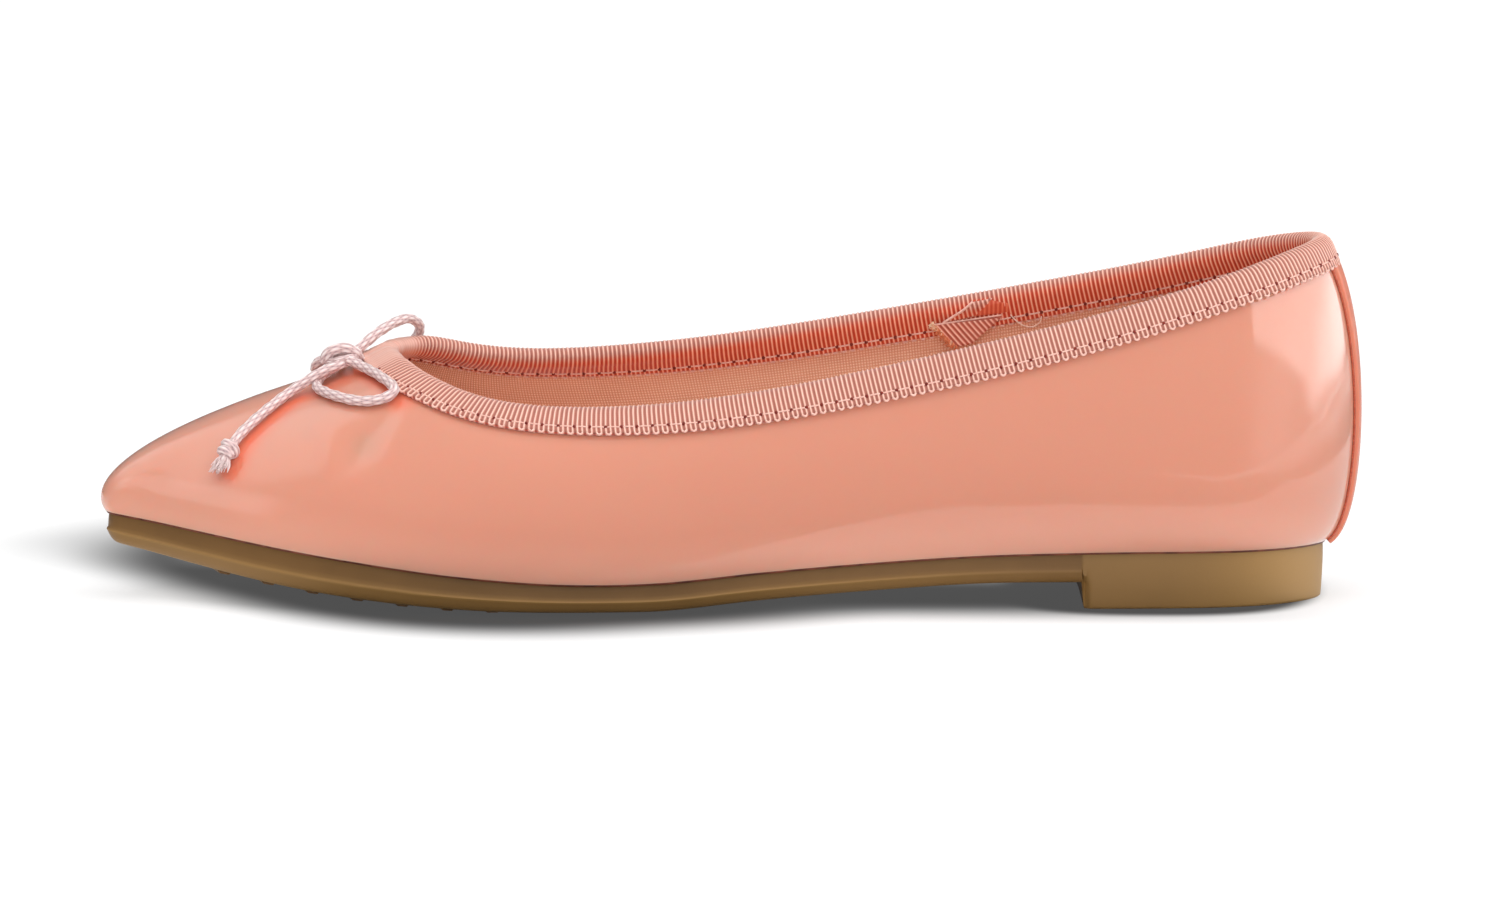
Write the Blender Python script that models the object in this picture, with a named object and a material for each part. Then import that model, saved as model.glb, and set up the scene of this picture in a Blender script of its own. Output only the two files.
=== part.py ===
"""Ballet flat, left shoe: a patent upper, a ribbon binding with a drawstring bow, and a moulded unit sole.

The toe points to -X and the outer side of the foot is at -Y. The origin is on the floor, under the
middle of the shoe. All sizes below are in millimetres, and place() turns them to metres.
"""

import math
from collections import namedtuple

import bmesh
import bpy
import numpy as np
from mathutils import Vector

MM = 0.001

# Driving sizes of the last, for a foot of about 240 mm.
FOOT_LENGTH = 251.7      # along the feather line, where the upper meets the sole
TOE_X = -129.0           # the feather line's foremost point
BALL_WIDTH = 78.0        # across the tread
BACK_HEIGHT = 72.6       # the upper's cut edge above the floor, at the back seam
SEAT_HEIGHT = 11.3       # the heel seat above the floor

# Thicknesses and clearances.
WALL = 1.5               # patent outside with its lining
GAP = 0.3                # between two pieces that touch
MARGIN = 6.0             # lasting margin, turned in under the foot
RIBBON = 0.65            # grosgrain, with its fold
SLACK = 0.4              # between the ribbon and the wall
STRIP = 0.8              # back strip
STRIP_HALF_WIDTH = 5.9
INSOLE = 2.2
CORD = 2.2               # drawstring

# The unit sole.
SOLE_INSET = 0.9         # its top edge inside the feather line
RIB_OUT = 0.7            # the rib round its side, out from that edge
BEVEL_IN = 1.4           # the bevel under the rib
EDGE_CLEAR = 0.4         # its edge above the floor at the ball
HEEL_SHARE = 0.796       # the heel's front face, along the foot
TREAD_BARS = 10
TREAD_FIRST_X = -103.8
TREAD_PITCH = 9.2
TREAD_WIDTH = 4.6
TREAD_DEPTH = 0.8
TREAD_MARGIN = 6.5       # from the feather line to the end of a bar
TREAD_BOW = 2.5          # each bar curves forward by this much in its middle

LATERAL, MEDIAL = -1, 1

# The feather line: share of the foot length from the toe, then its distance to each side of
# the long axis as a share of the ball width.
Plan = namedtuple("Plan", "name along lateral medial")
PLAN = [
    Plan("toe tip", 0.000, -0.064, 0.064),
    Plan("toe corner", 0.033, 0.167, 0.231),
    Plan("toe joint", 0.118, 0.350, 0.404),
    Plan("tread", 0.235, 0.487, 0.503),
    Plan("ball", 0.374, 0.532, 0.468),
    Plan("waist front", 0.513, 0.468, 0.340),
    Plan("waist", 0.640, 0.397, 0.276),
    Plan("seat front", 0.759, 0.378, 0.314),
    Plan("seat", 0.878, 0.365, 0.356),
    Plan("heel corner", 0.960, 0.260, 0.256),
    Plan("back", 1.000, 0.000, 0.000),
]

# The cut edge at the foot opening, section by section: shares of the foot length, of the ball
# width and of the back height. The inner side of the foot stands higher than the outer side. The
# last two are how far the ribbon comes down the wall outside and inside, in millimetres.
Edge = namedtuple("Edge", "name along lateral medial lateral_height medial_height drop_outside drop_inside")
TOPLINE = [
    Edge("throat", 0.2310, -0.054, 0.054, 0.694, 0.694, 5.7, 4.8),
    Edge("throat corner", 0.2360, 0.034, 0.122, 0.683, 0.702, 5.7, 4.8),
    Edge("throat side", 0.2488, 0.122, 0.180, 0.654, 0.703, 6.3, 5.0),
    Edge("vamp wing", 0.2744, 0.208, 0.235, 0.613, 0.692, 6.6, 5.4),
    Edge("joint", 0.3443, 0.308, 0.318, 0.556, 0.656, 7.0, 5.8),
    Edge("instep", 0.4813, 0.359, 0.359, 0.571, 0.684, 6.2, 6.1),
    Edge("waist", 0.6242, 0.356, 0.354, 0.657, 0.758, 6.0, 6.2),
    Edge("ankle front", 0.7434, 0.340, 0.337, 0.750, 0.831, 6.0, 6.1),
    Edge("ankle", 0.8626, 0.305, 0.303, 0.858, 0.912, 5.6, 5.9),
    Edge("heel corner", 0.9512, 0.205, 0.205, 0.956, 0.984, 5.4, 5.8),
    Edge("back seam", 0.9955, 0.000, 0.000, 1.008, 1.008, 5.0, 5.5),
]

# How the wall swells between the feather line and the cut edge, in millimetres: the pull out and
# up at the foot, the belly half way, and the pull out and down at the cut edge.
Swell = namedtuple("Swell", "name foot_out foot_up belly_out belly_up edge_out edge_down")
SWELL = [
    Swell("toe tip", 5.5, 7.5, 18.0, 2.2, 21.0, 8.0),
    Swell("toe corner", 5.0, 7.5, 15.5, 2.0, 20.0, 9.8),
    Swell("toe joint", 4.0, 8.0, 10.0, 3.4, 17.0, 6.6),
    Swell("tread", 3.0, 8.0, 6.5, 2.0, 15.5, 6.0),
    Swell("ball", 2.5, 8.0, 5.0, 0.5, 14.0, 6.5),
    Swell("waist front", 3.5, 8.0, 4.0, 0.0, 10.0, 8.5),
    Swell("waist", 4.5, 8.5, 5.0, 0.0, 6.5, 10.0),
    Swell("seat front", 5.0, 8.5, 5.5, 0.0, 5.0, 11.0),
    Swell("seat", 5.5, 7.5, 5.5, -1.0, 5.5, 11.5),
    Swell("heel corner", 6.0, 5.0, 6.0, -4.0, 7.0, 11.5),
    Swell("back", 6.0, 3.0, 8.2, -4.5, 7.5, 11.0),
]

# The unit sole along the shoe, in millimetres: the height of its top, with toe spring, tread, arch
# and heel seat, and its thickness in front of the heel.
Bed = namedtuple("Bed", "along height thickness")
BED = [
    Bed(0.000, 17.7, 6.4),
    Bed(0.080, 14.9, 7.3),
    Bed(0.190, 10.8, 7.5),
    Bed(0.295, 7.5, 6.6),
    Bed(0.390, 6.0, 5.6),
    Bed(0.455, 6.2, 5.7),
    Bed(0.530, 7.8, 5.6),
    Bed(0.640, 9.7, 5.6),
    Bed(0.720, 10.8, 5.6),
    Bed(0.800, SEAT_HEIGHT, 5.9),
    Bed(1.000, SEAT_HEIGHT, 5.9),
]

# The drawstring's routes, as x, y and z in millimetres. Each loop starts and ends under the knot.
OUTER_LOOP = [
    (-81.5, -0.8, 47.7), (-81.9, -2.8, 47.1), (-83.2, -5.3, 46.2), (-85.0, -7.9, 44.9),
    (-85.8, -11.0, 43.5), (-84.2, -14.3, 42.5), (-80.9, -17.3, 41.9), (-76.6, -20.1, 41.6),
    (-72.5, -21.2, 42.0), (-69.7, -20.2, 43.6), (-69.0, -17.4, 46.0), (-70.2, -14.2, 47.6),
    (-73.0, -10.4, 48.3), (-75.9, -6.4, 48.6), (-78.2, -2.8, 48.4), (-79.1, -0.8, 48.4),
]
INNER_LOOP = [
    (-81.5, 0.8, 47.8), (-81.5, 2.4, 48.1), (-81.2, 5.5, 48.3), (-80.6, 10.0, 48.1), (-79.4, 14.6, 47.7),
    (-77.0, 19.2, 47.3), (-73.6, 22.4, 47.3), (-70.0, 23.8, 48.2), (-66.8, 23.2, 50.1), (-64.7, 20.9, 52.5),
    (-64.4, 17.2, 55.0), (-66.7, 13.2, 56.5), (-70.5, 9.0, 55.4), (-73.9, 5.3, 53.1), (-77.6, 3.1, 50.1),
    (-79.1, 0.8, 48.5),
]
OUTER_TAIL = [
    (-84.7, -2.5, 46.2), (-87.4, -4.3, 44.8), (-90.7, -6.7, 42.8), (-93.7, -9.9, 40.7),
    (-96.4, -12.9, 38.8), (-99.0, -15.9, 36.4), (-101.1, -17.9, 34.1),
]
INNER_TAIL = [
    (-84.2, 3.2, 47.1), (-85.2, 6.2, 46.8), (-85.8, 9.5, 46.2), (-86.1, 13.0, 45.5),
    (-86.5, 16.6, 44.5), (-86.8, 20.0, 43.3), (-87.3, 23.1, 42.0), (-88.0, 26.1, 40.1),
]
OUTER_TAIL_END = [(-101.5, -18.4, 33.9), (-102.3, -19.8, 33.9), (-103.0, -21.2, 32.7), (-104.5, -23.2, 28.4)]
INNER_TAIL_END = [(-88.1, 26.5, 39.8), (-88.5, 27.9, 39.5), (-88.9, 29.6, 38.0), (-89.4, 31.5, 33.9)]
KNOT_CENTRE = (-80.5, 0.0, 48.1)

SECTIONS = len(PLAN) - 1
TURN = 2 * SECTIONS      # rows once round the shoe: down the outer side and back up the inner side
BREAST_X = TOE_X + HEEL_SHARE * FOOT_LENGTH


# Curves.

def closed_spline(rows):
    """A smooth closed curve through the rows, as a function of the row number."""
    rows = np.array(rows, float)
    count = len(rows)
    ahead, behind = np.roll(rows, -1, axis=0), np.roll(rows, 1, axis=0)
    system = 4 * np.eye(count) + np.roll(np.eye(count), 1, axis=1) + np.roll(np.eye(count), -1, axis=1)
    slopes = np.linalg.solve(system, 3 * (ahead - behind))

    def at(station):
        first = int(math.floor(station)) % count
        second = (first + 1) % count
        t = station - math.floor(station)
        return (
            (1 + 2 * t) * (1 - t) ** 2 * rows[first]
            + t * (1 - t) ** 2 * slopes[first]
            + t * t * (3 - 2 * t) * rows[second]
            - t * t * (1 - t) * slopes[second]
        )

    return at


def open_spline(points, step):
    """Points about step apart on a smooth curve through the given ones, which it leaves straight at its ends."""
    points = np.array(points, float)
    padded = np.vstack([2 * points[0] - points[1], points, 2 * points[-1] - points[-2]])
    fine = []
    for before, here, there, after in zip(padded, padded[1:], padded[2:], padded[3:]):
        for t in np.linspace(0, 1, 24, endpoint=False):
            fine.append(
                0.5 * (2 * here + (there - before) * t + (2 * before - 5 * here + 4 * there - after) * t**2
                       + (3 * here - before - 3 * there + after) * t**3)
            )
    fine = np.array(fine + [points[-1]])
    along = np.concatenate([[0], np.cumsum(np.linalg.norm(np.diff(fine, axis=0), axis=1))])
    marks = np.linspace(0, along[-1], max(2, round(along[-1] / step) + 1))
    return np.stack([np.interp(marks, along, fine[:, axis]) for axis in range(3)], axis=1)


def smooth_step(value):
    value = min(1.0, max(0.0, value))
    return value * value * (3 - 2 * value)


def round_the_shoe(rows, lateral, medial):
    """One closed curve from a table of sections: the toe, the outer side, the back, then the inner side."""
    return closed_spline([lateral(row) for row in rows] + [medial(row) for row in rows[-2:0:-1]])


plan_curve = round_the_shoe(
    PLAN,
    lambda row: (TOE_X + row.along * FOOT_LENGTH, LATERAL * row.lateral * BALL_WIDTH),
    lambda row: (TOE_X + row.along * FOOT_LENGTH, MEDIAL * row.medial * BALL_WIDTH),
)
topline_curve = round_the_shoe(
    TOPLINE,
    lambda row: (TOE_X + row.along * FOOT_LENGTH, LATERAL * row.lateral * BALL_WIDTH,
                 row.lateral_height * BACK_HEIGHT),
    lambda row: (TOE_X + row.along * FOOT_LENGTH, MEDIAL * row.medial * BALL_WIDTH,
                 row.medial_height * BACK_HEIGHT),
)
drop_curve = round_the_shoe(TOPLINE, lambda row: row[-2:], lambda row: row[-2:])
swell_curve = round_the_shoe(SWELL, lambda row: row[1:], lambda row: row[1:])


def along_bed(x, values):
    """A smooth reading, at x, of one column of the sole's table."""
    along = [row.along for row in BED]
    slopes = np.gradient(values, along)
    share = min(1.0, max(0.0, (x - TOE_X) / FOOT_LENGTH))
    first = min(int(np.searchsorted(along, share, side="right")) - 1, len(BED) - 2)
    span = along[first + 1] - along[first]
    t = (share - along[first]) / span
    return (
        (1 + 2 * t) * (1 - t) ** 2 * values[first]
        + t * (1 - t) ** 2 * span * slopes[first]
        + t * t * (3 - 2 * t) * values[first + 1]
        - t * t * (1 - t) * span * slopes[first + 1]
    )


def bed_height(x):
    """Top of the sole above the floor."""
    return along_bed(x, [row.height for row in BED])


def outward(curve, station):
    """Level unit vector that points out of a closed curve."""
    ahead, behind = curve(station + 0.01), curve(station - 0.01)
    run, side = ahead[0] - behind[0], ahead[1] - behind[1]
    return np.array([side, -run, 0.0]) / math.hypot(run, side)


def feather(station, inset=0.0):
    """A point on the feather line, or that far inside it."""
    x, y = plan_curve(station) - inset * outward(plan_curve, station)[:2]
    return np.array([x, y, bed_height(x)])


# The surface of the last.

def outer_profile(station, shares):
    """Outside of the wall at one station, at shares from 0 at the feather line to 1 at the cut edge."""
    foot = feather(station) + np.array([0, 0, GAP])
    edge = topline_curve(station)
    foot_out, foot_up, belly_out, belly_up, edge_out, edge_down = swell_curve(station)
    from_foot, from_edge = outward(plan_curve, station), outward(topline_curve, station)
    up = np.array([0, 0, 1.0])
    handles = [
        foot,
        foot + foot_out * from_foot + foot_up * up,
        (foot + edge) / 2 + belly_out * (from_foot + from_edge) / 2 + belly_up * up,
        edge + edge_out * from_edge - edge_down * up,
        edge,
    ]
    return np.array([
        sum(math.comb(4, k) * t**k * (1 - t) ** (4 - k) * handle for k, handle in enumerate(handles))
        for t in shares
    ])


def surface_normal(station, share):
    low, high = max(0.0, share - 0.01), min(1.0, share + 0.01)
    rise = np.diff(outer_profile(station, [low, high]), axis=0)[0]
    turn = outer_profile(station + 0.02, [share])[0] - outer_profile(station - 0.02, [share])[0]
    normal = np.cross(turn, rise)
    return normal / np.linalg.norm(normal)


def share_below_edge(station, distance):
    """The share of the profile that lies that far down the wall from the cut edge."""
    shares = np.linspace(1, 0, 60)
    line = outer_profile(station, shares)
    down = np.concatenate([[0], np.cumsum(np.linalg.norm(np.diff(line, axis=0), axis=1))])
    return float(np.interp(distance, down, shares))


def on_wall(station, down, out):
    """A point that far down the wall from the cut edge, and that far out of its outer face."""
    share = share_below_edge(station, max(0.0, down))
    point = outer_profile(station, [share])[0] + out * surface_normal(station, share)
    if down < 0:
        near = outer_profile(station, [0.97, 1.0])
        point -= down * (near[1] - near[0]) / np.linalg.norm(near[1] - near[0])
    return point


def ring_stations():
    """Stations round the shoe, closer together at the toe and the heel."""
    steps = [5 if section < 2 or section >= SECTIONS - 2 else 4 for section in range(SECTIONS)]
    half = [section + part / count for section, count in enumerate(steps) for part in range(count)]
    return half + [TURN / 2] + [TURN - station for station in half[:0:-1]]


# Meshes.

def place(points):
    return [Vector(point) * MM for point in points]


def leather_and_rubber(name, colour, roughness, coat=0.0):
    """A Principled material, with its colour as sRGB."""
    material = bpy.data.materials.new(name)
    material.use_nodes = True
    shader = material.node_tree.nodes["Principled BSDF"]
    linear = [channel / 12.92 if channel <= 0.04045 else ((channel + 0.055) / 1.055) ** 2.4 for channel in colour]
    shader.inputs["Base Color"].default_value = (*linear, 1.0)
    shader.inputs["Roughness"].default_value = roughness
    shader.inputs["Metallic"].default_value = 0.0
    shader.inputs["Coat Weight"].default_value = coat
    return material


def add_object(name, data, material, parent):
    data.materials.append(material)
    thing = bpy.data.objects.new(name, data)
    thing.parent = parent
    bpy.context.scene.collection.objects.link(thing)
    return thing


def finish_mesh(bm, name, material, parent, sharp=35.0):
    bmesh.ops.remove_doubles(bm, verts=bm.verts, dist=0.00001)
    bmesh.ops.triangulate(bm, faces=bm.faces)
    bmesh.ops.recalc_face_normals(bm, faces=bm.faces)
    mesh = bpy.data.meshes.new(name)
    bm.to_mesh(mesh)
    bm.free()
    mesh.shade_smooth()
    mesh.set_sharp_from_angle(angle=math.radians(sharp))
    return add_object(name, mesh, material, parent)


def skin(bm, loops, close_loops=True, close_rows=False):
    """Faces between neighbouring rows of vertices. Each row may be a closed loop, and the rows may be a ring."""
    rows = [[bm.verts.new(point) for point in place(loop)] for loop in loops]
    pairs = list(zip(rows, rows[1:])) + ([(rows[-1], rows[0])] if close_rows else [])
    for row, following in pairs:
        last = len(row) if close_loops else len(row) - 1
        for index in range(last):
            after = (index + 1) % len(row)
            bm.faces.new((row[index], row[after], following[after], following[index]))
    return rows


def fill_across(bm, loop):
    """Closes a loop that starts at the toe tip with strips from its outer side to its inner side."""
    count = len(loop)
    for index in range(count // 2):
        corners = [loop[index], loop[index + 1], loop[(count - index - 1) % count], loop[(count - index) % count]]
        kept = list(dict.fromkeys(corners))
        bm.faces.new(kept)


# The pieces.

def make_upper(material, parent):
    """The wall from its turned-in lasting margin up to the cut edge, and back down inside it."""
    outside = [0.03, 0.09, 0.17, 0.26, 0.36, 0.47, 0.58, 0.69, 0.79, 0.88, 0.95, 1.0]
    inside = [1.0, 0.93, 0.80, 0.64, 0.47, 0.31, 0.18]
    up = np.array([0, 0, 1.0])
    loops = []
    for station in ring_stations():
        corner = feather(station) + GAP * up
        margin = feather(station, MARGIN) + GAP * up
        heel_of_wall = feather(station, WALL) + (GAP + WALL) * up
        shell = list(outer_profile(station, outside))
        lining = [outer_profile(station, [share])[0] - WALL * surface_normal(station, share) for share in inside]
        loops.append([
            margin,
            corner,
            *shell,
            *lining,
            heel_of_wall,
            margin + WALL * up,
        ])
    bm = bmesh.new()
    skin(bm, loops, close_rows=True)
    return finish_mesh(bm, "upper", material, parent)


def make_binding(material, parent):
    """The ribbon folded over the cut edge, round the bead of its drawstring channel."""
    outer_face, inner_face = SLACK + RIBBON, -WALL - SLACK - RIBBON
    middle = -WALL / 2
    loops = []
    for station in ring_stations():
        outside, inside = drop_curve(station)
        section = [
            (outside, outer_face),
            (3.2, outer_face),
            (0.9, outer_face + 0.25),
            (-0.7, outer_face - 0.3),
            (-1.5, middle),
            (-0.7, inner_face + 0.3),
            (0.9, inner_face - 0.25),
            (3.2, inner_face),
            (inside, inner_face),
            (inside, -WALL - SLACK),
            (2.9, -WALL - SLACK),
            (0.0, -WALL - SLACK),
            (-0.5, middle),
            (0.0, SLACK),
            (1.9, SLACK),
            (3.6, SLACK),
            (outside, SLACK),
        ]
        loops.append([on_wall(station, down, out) for down, out in section])
    bm = bmesh.new()
    skin(bm, loops, close_rows=True)
    return finish_mesh(bm, "topline_binding", material, parent)


def back_station(share, across):
    """The station near the back seam where the wall is that far to the side."""
    stations = np.linspace(SECTIONS - 1.2, SECTIONS + 1.2, 49)
    sides = [outer_profile(station, [share])[0][1] for station in stations]
    return float(np.interp(across, sides, stations))


def make_back_strip(material, parent):
    """The strip up the back seam, as far as the binding's lower edge."""
    columns = np.linspace(-STRIP_HALF_WIDTH, STRIP_HALF_WIDTH, 9)
    shares = np.linspace(0.06, share_below_edge(TURN / 2, drop_curve(TURN / 2)[0] + GAP), 11)
    sheets = [[[back_point(share, across, layer) for across in columns] for share in shares]
              for layer in (GAP, GAP + STRIP)]
    loops = [list(inner) + list(outer)[::-1] for inner, outer in zip(*sheets)]
    bm = bmesh.new()
    rows = skin(bm, loops)
    bm.faces.new(rows[0])
    bm.faces.new(rows[-1])
    return finish_mesh(bm, "back_strip", material, parent)


def back_point(share, across, out):
    station = back_station(share, across)
    return outer_profile(station, [share])[0] + out * surface_normal(station, share)


def sole_bottom(x):
    """Underside of the unit sole in front of the heel."""
    return max(EDGE_CLEAR, bed_height(x) - along_bed(x, [row.thickness for row in BED]))


def sole_side(station, on_heel):
    """The side of the sole at one station: its top edge, the rib and its bottom edge."""
    top = feather(station, SOLE_INSET)
    low = sole_bottom(top[0])
    forepart = 1 - smooth_step((top[0] - 20) / 50)   # the rib and the bevel fade out at the waist
    rib = top + (feather(station, SOLE_INSET - RIB_OUT) - top) * forepart
    rib[2] = top[2] - 0.58 * (top[2] - low)
    if on_heel:
        under = feather(station, SOLE_INSET + 1.0)
        under[2] = 0.0
    else:
        under = feather(station, SOLE_INSET + 0.4 + BEVEL_IN * forepart)
        under[2] = low
    return [top, rib, under]


def station_at(x):
    """The outer side's station at x. The inner side's is TURN less it."""
    stations = np.linspace(0, TURN / 2, 400)
    return float(np.interp(x, [plan_curve(station)[0] for station in stations], stations))


def make_outsole(material, parent):
    """The unit sole: side walls with a moulded rib, a heel with a flat breast, and tread bars."""
    breast = station_at(BREAST_X)
    front = [s for s in ring_stations() if s < breast - 0.05]
    rear = [s for s in ring_stations() if breast + 0.05 < s < TURN / 2]
    half = [(s, False) for s in front] + [(breast, False), (breast, True)] + [(s, True) for s in rear]
    ring = half + [(TURN / 2, True)] + [(TURN - s, heel) for s, heel in half[:0:-1]]
    sides = [sole_side(station % TURN, heel) for station, heel in ring]
    bm = bmesh.new()
    walls = skin(bm, [[side[level] for side in sides] for level in range(3)])
    fill_across(bm, walls[0])
    fill_across(bm, walls[2])
    sole = finish_mesh(bm, "outsole", material, parent)
    for index in range(TREAD_BARS):
        bar = tread_bar(TREAD_FIRST_X + index * TREAD_PITCH, index, material, parent)
        join = sole.modifiers.new(f"bar {index}", "BOOLEAN")
        join.operation = "UNION"
        join.object = bar
    return sole


def tread_bar(x, index, material, parent):
    """One shallow bar across the forepart, bowed towards the toe."""
    ends = [feather(station_at(x) if side == LATERAL else TURN - station_at(x), TREAD_MARGIN)[1]
            for side in (LATERAL, MEDIAL)]
    loops = []
    for across in np.linspace(ends[0], ends[1], 7):
        share = (across - ends[0]) / (ends[1] - ends[0])
        bow = -TREAD_BOW * math.sin(math.pi * share)
        loop = []
        for run, level in ((-0.5, 1), (0.5, 1), (0.4, 0), (-0.4, 0)):
            here = x + bow + run * TREAD_WIDTH
            low = max(0.0, sole_bottom(here) - TREAD_DEPTH)
            loop.append((here, across, sole_bottom(here) + 0.6 if level else low))
        loops.append(loop)
    bm = bmesh.new()
    rows = skin(bm, loops)
    bm.faces.new(rows[0])
    bm.faces.new(rows[-1])
    bar = finish_mesh(bm, f"tread_bar_{index}", material, parent)
    bar.hide_render = True
    bar.display_type = "WIRE"
    return bar


def make_insole(material, parent):
    """The footbed, resting on the lasting margin."""
    lift = GAP + WALL + GAP
    clear = WALL + 0.7
    rounding = 0.6
    levels = [(clear + rounding, 0.0), (clear, rounding), (clear, INSOLE - rounding), (clear + rounding, INSOLE)]
    loops = []
    for inset, height in levels:
        loops.append([feather(station, inset) + np.array([0, 0, lift + height]) for station in ring_stations()])
    bm = bmesh.new()
    rows = skin(bm, loops)
    fill_across(bm, rows[0])
    fill_across(bm, rows[-1])
    return finish_mesh(bm, "insole", material, parent)


def cord(name, points, material, parent, girths=None):
    """A round tube of cord along the points, with a girth at each as a share of the cord's own."""
    curve = bpy.data.curves.new(name, "CURVE")
    curve.dimensions = "3D"
    curve.bevel_depth = CORD / 2 * MM
    curve.bevel_resolution = 2
    curve.use_fill_caps = True
    spline = curve.splines.new("POLY")
    spline.points.add(len(points) - 1)
    for index, position in enumerate(place(points)):
        spline.points[index].co = (*position, 1.0)
        spline.points[index].radius = girths[index] if girths else 1.0
    return add_object(name, curve, material, parent)


def make_bow(material, parent):
    """Two loops and two tails of the drawstring, the strand of the knot over them, and a knot on each end."""
    step = 2 * CORD
    cord("bow_loop_outer", open_spline(OUTER_LOOP, step), material, parent)
    cord("bow_loop_inner", open_spline(INNER_LOOP, step), material, parent)
    cord("bow_tail_outer", open_spline(OUTER_TAIL, step), material, parent)
    cord("bow_tail_inner", open_spline(INNER_TAIL, step), material, parent)
    half_width, rise, slope = 3.75, 2.8, 0.3
    arch = [
        (
            KNOT_CENTRE[0] + half_width * math.cos(angle),
            KNOT_CENTRE[1],
            KNOT_CENTRE[2] + rise * math.sin(angle) + slope * half_width * math.cos(angle),
        )
        for angle in np.linspace(0, math.pi, 9)
    ]
    cord("bow_knot", arch, material, parent)
    bulge = [0.75, 1.8, 1.95, 1.0, 0.8, 1.05]
    for name, route in (("tail_knot_outer", OUTER_TAIL_END), ("tail_knot_inner", INNER_TAIL_END)):
        ends = open_spline([Vector(point) for point in route], CORD / 2)
        at = np.linspace(0, len(ends) - 1, len(bulge)).round().astype(int)
        cord(name, [ends[index] for index in at], material, parent, bulge)


def main():
    for thing in list(bpy.data.objects):
        bpy.data.objects.remove(thing)
    shoe = bpy.data.objects.new("shoe", None)
    bpy.context.scene.collection.objects.link(shoe)
    patent = leather_and_rubber("patent_leather", (0.91, 0.62, 0.52), 0.12, coat=1.0)
    rubber = leather_and_rubber("gum_rubber", (0.53, 0.40, 0.26), 0.45)
    ribbon = leather_and_rubber("grosgrain_ribbon", (0.95, 0.71, 0.64), 0.6)
    canvas = leather_and_rubber("footbed_canvas", (0.85, 0.62, 0.48), 0.8)
    satin = leather_and_rubber("satin_cord", (0.93, 0.82, 0.81), 0.4)
    make_outsole(rubber, shoe)
    make_upper(patent, shoe)
    make_insole(canvas, shoe)
    make_binding(ribbon, shoe)
    make_back_strip(patent, shoe)
    make_bow(satin, shoe)


main()
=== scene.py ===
import math

import bmesh
import bpy
import numpy as np
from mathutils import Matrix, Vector


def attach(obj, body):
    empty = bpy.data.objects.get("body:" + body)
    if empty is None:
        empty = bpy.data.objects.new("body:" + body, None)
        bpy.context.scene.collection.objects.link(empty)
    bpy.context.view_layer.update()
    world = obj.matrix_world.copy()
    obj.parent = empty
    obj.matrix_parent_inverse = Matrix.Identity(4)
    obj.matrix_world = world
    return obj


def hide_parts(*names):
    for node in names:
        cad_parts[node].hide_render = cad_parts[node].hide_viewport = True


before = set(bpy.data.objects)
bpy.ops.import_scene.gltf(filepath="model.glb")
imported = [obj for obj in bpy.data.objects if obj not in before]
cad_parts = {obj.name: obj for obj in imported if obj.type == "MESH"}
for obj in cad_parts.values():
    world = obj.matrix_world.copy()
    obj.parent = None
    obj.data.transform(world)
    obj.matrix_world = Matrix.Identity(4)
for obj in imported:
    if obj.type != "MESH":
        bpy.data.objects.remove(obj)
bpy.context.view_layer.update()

scene = bpy.context.scene
mm = 0.001

# The toe points to -X and the outer side of the foot is at -Y. Sizes are in millimetres until
# a mesh is made, and then in metres.


# small helpers for meshes and materials

def linearColour(hexValue):
    channels = [int(hexValue[i:i + 2], 16) / 255 for i in (1, 3, 5)]
    return [c / 12.92 if c <= 0.04045 else ((c + 0.055) / 1.055) ** 2.4 for c in channels] + [1.0]


def addNode(tree, kind, inputs=None, stops=None, **settings):
    # inputs are values or sockets by name or number; stops are a ramp's positions and colours
    node = tree.nodes.new(kind)
    for name, value in settings.items():
        setattr(node, name, value)
    if stops:
        elements = node.color_ramp.elements
        for element, (position, hexValue) in zip(list(elements), (stops[0], stops[-1])):
            element.position, element.color = position, linearColour(hexValue)
        for position, hexValue in stops[1:-1]:
            elements.new(position).color = linearColour(hexValue)
    for socket, value in (inputs or {}).items():
        if isinstance(value, bpy.types.NodeSocket):
            tree.links.new(value, node.inputs[socket])
        else:
            node.inputs[socket].default_value = value
    return node


def newMaterial(name, **sockets):
    material = bpy.data.materials.new(name)
    material.use_nodes = True
    shader = material.node_tree.nodes["Principled BSDF"]
    for socket, value in sockets.items():
        shader.inputs[socket.replace("_", " ")].default_value = value
    return material, material.node_tree, shader


def gridInto(bm, points, uvs=None, crown=None, paintedCordShade=None):
    # a bmesh grid laid over an array of points, one vertex for each
    rows, columns = points.shape[:2]
    uvLayer = bm.loops.layers.uv.verify() if uvs is not None else None
    shades = []
    for name, values in (("crown", crown), ("paintedCordShade", paintedCordShade)):
        if values is not None:
            shades.append((bm.verts.layers.float.get(name) or bm.verts.layers.float.new(name), values))
    made = bmesh.ops.create_grid(bm, x_segments=columns - 1, y_segments=rows - 1, size=1)["verts"]
    place = {}
    for vertex in made:
        column = round((vertex.co.x + 1) / 2 * (columns - 1))
        row = round((vertex.co.y + 1) / 2 * (rows - 1))
        place[vertex] = (row, column)
        vertex.co = points[row, column] * mm
        for layer, values in shades:
            vertex[layer] = values[row, column]
    if uvLayer:
        for face in {face for vertex in made for face in vertex.link_faces}:
            for loop in face.loops:
                loop[uvLayer].uv = uvs[place[loop.vert]]
    return made


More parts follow.
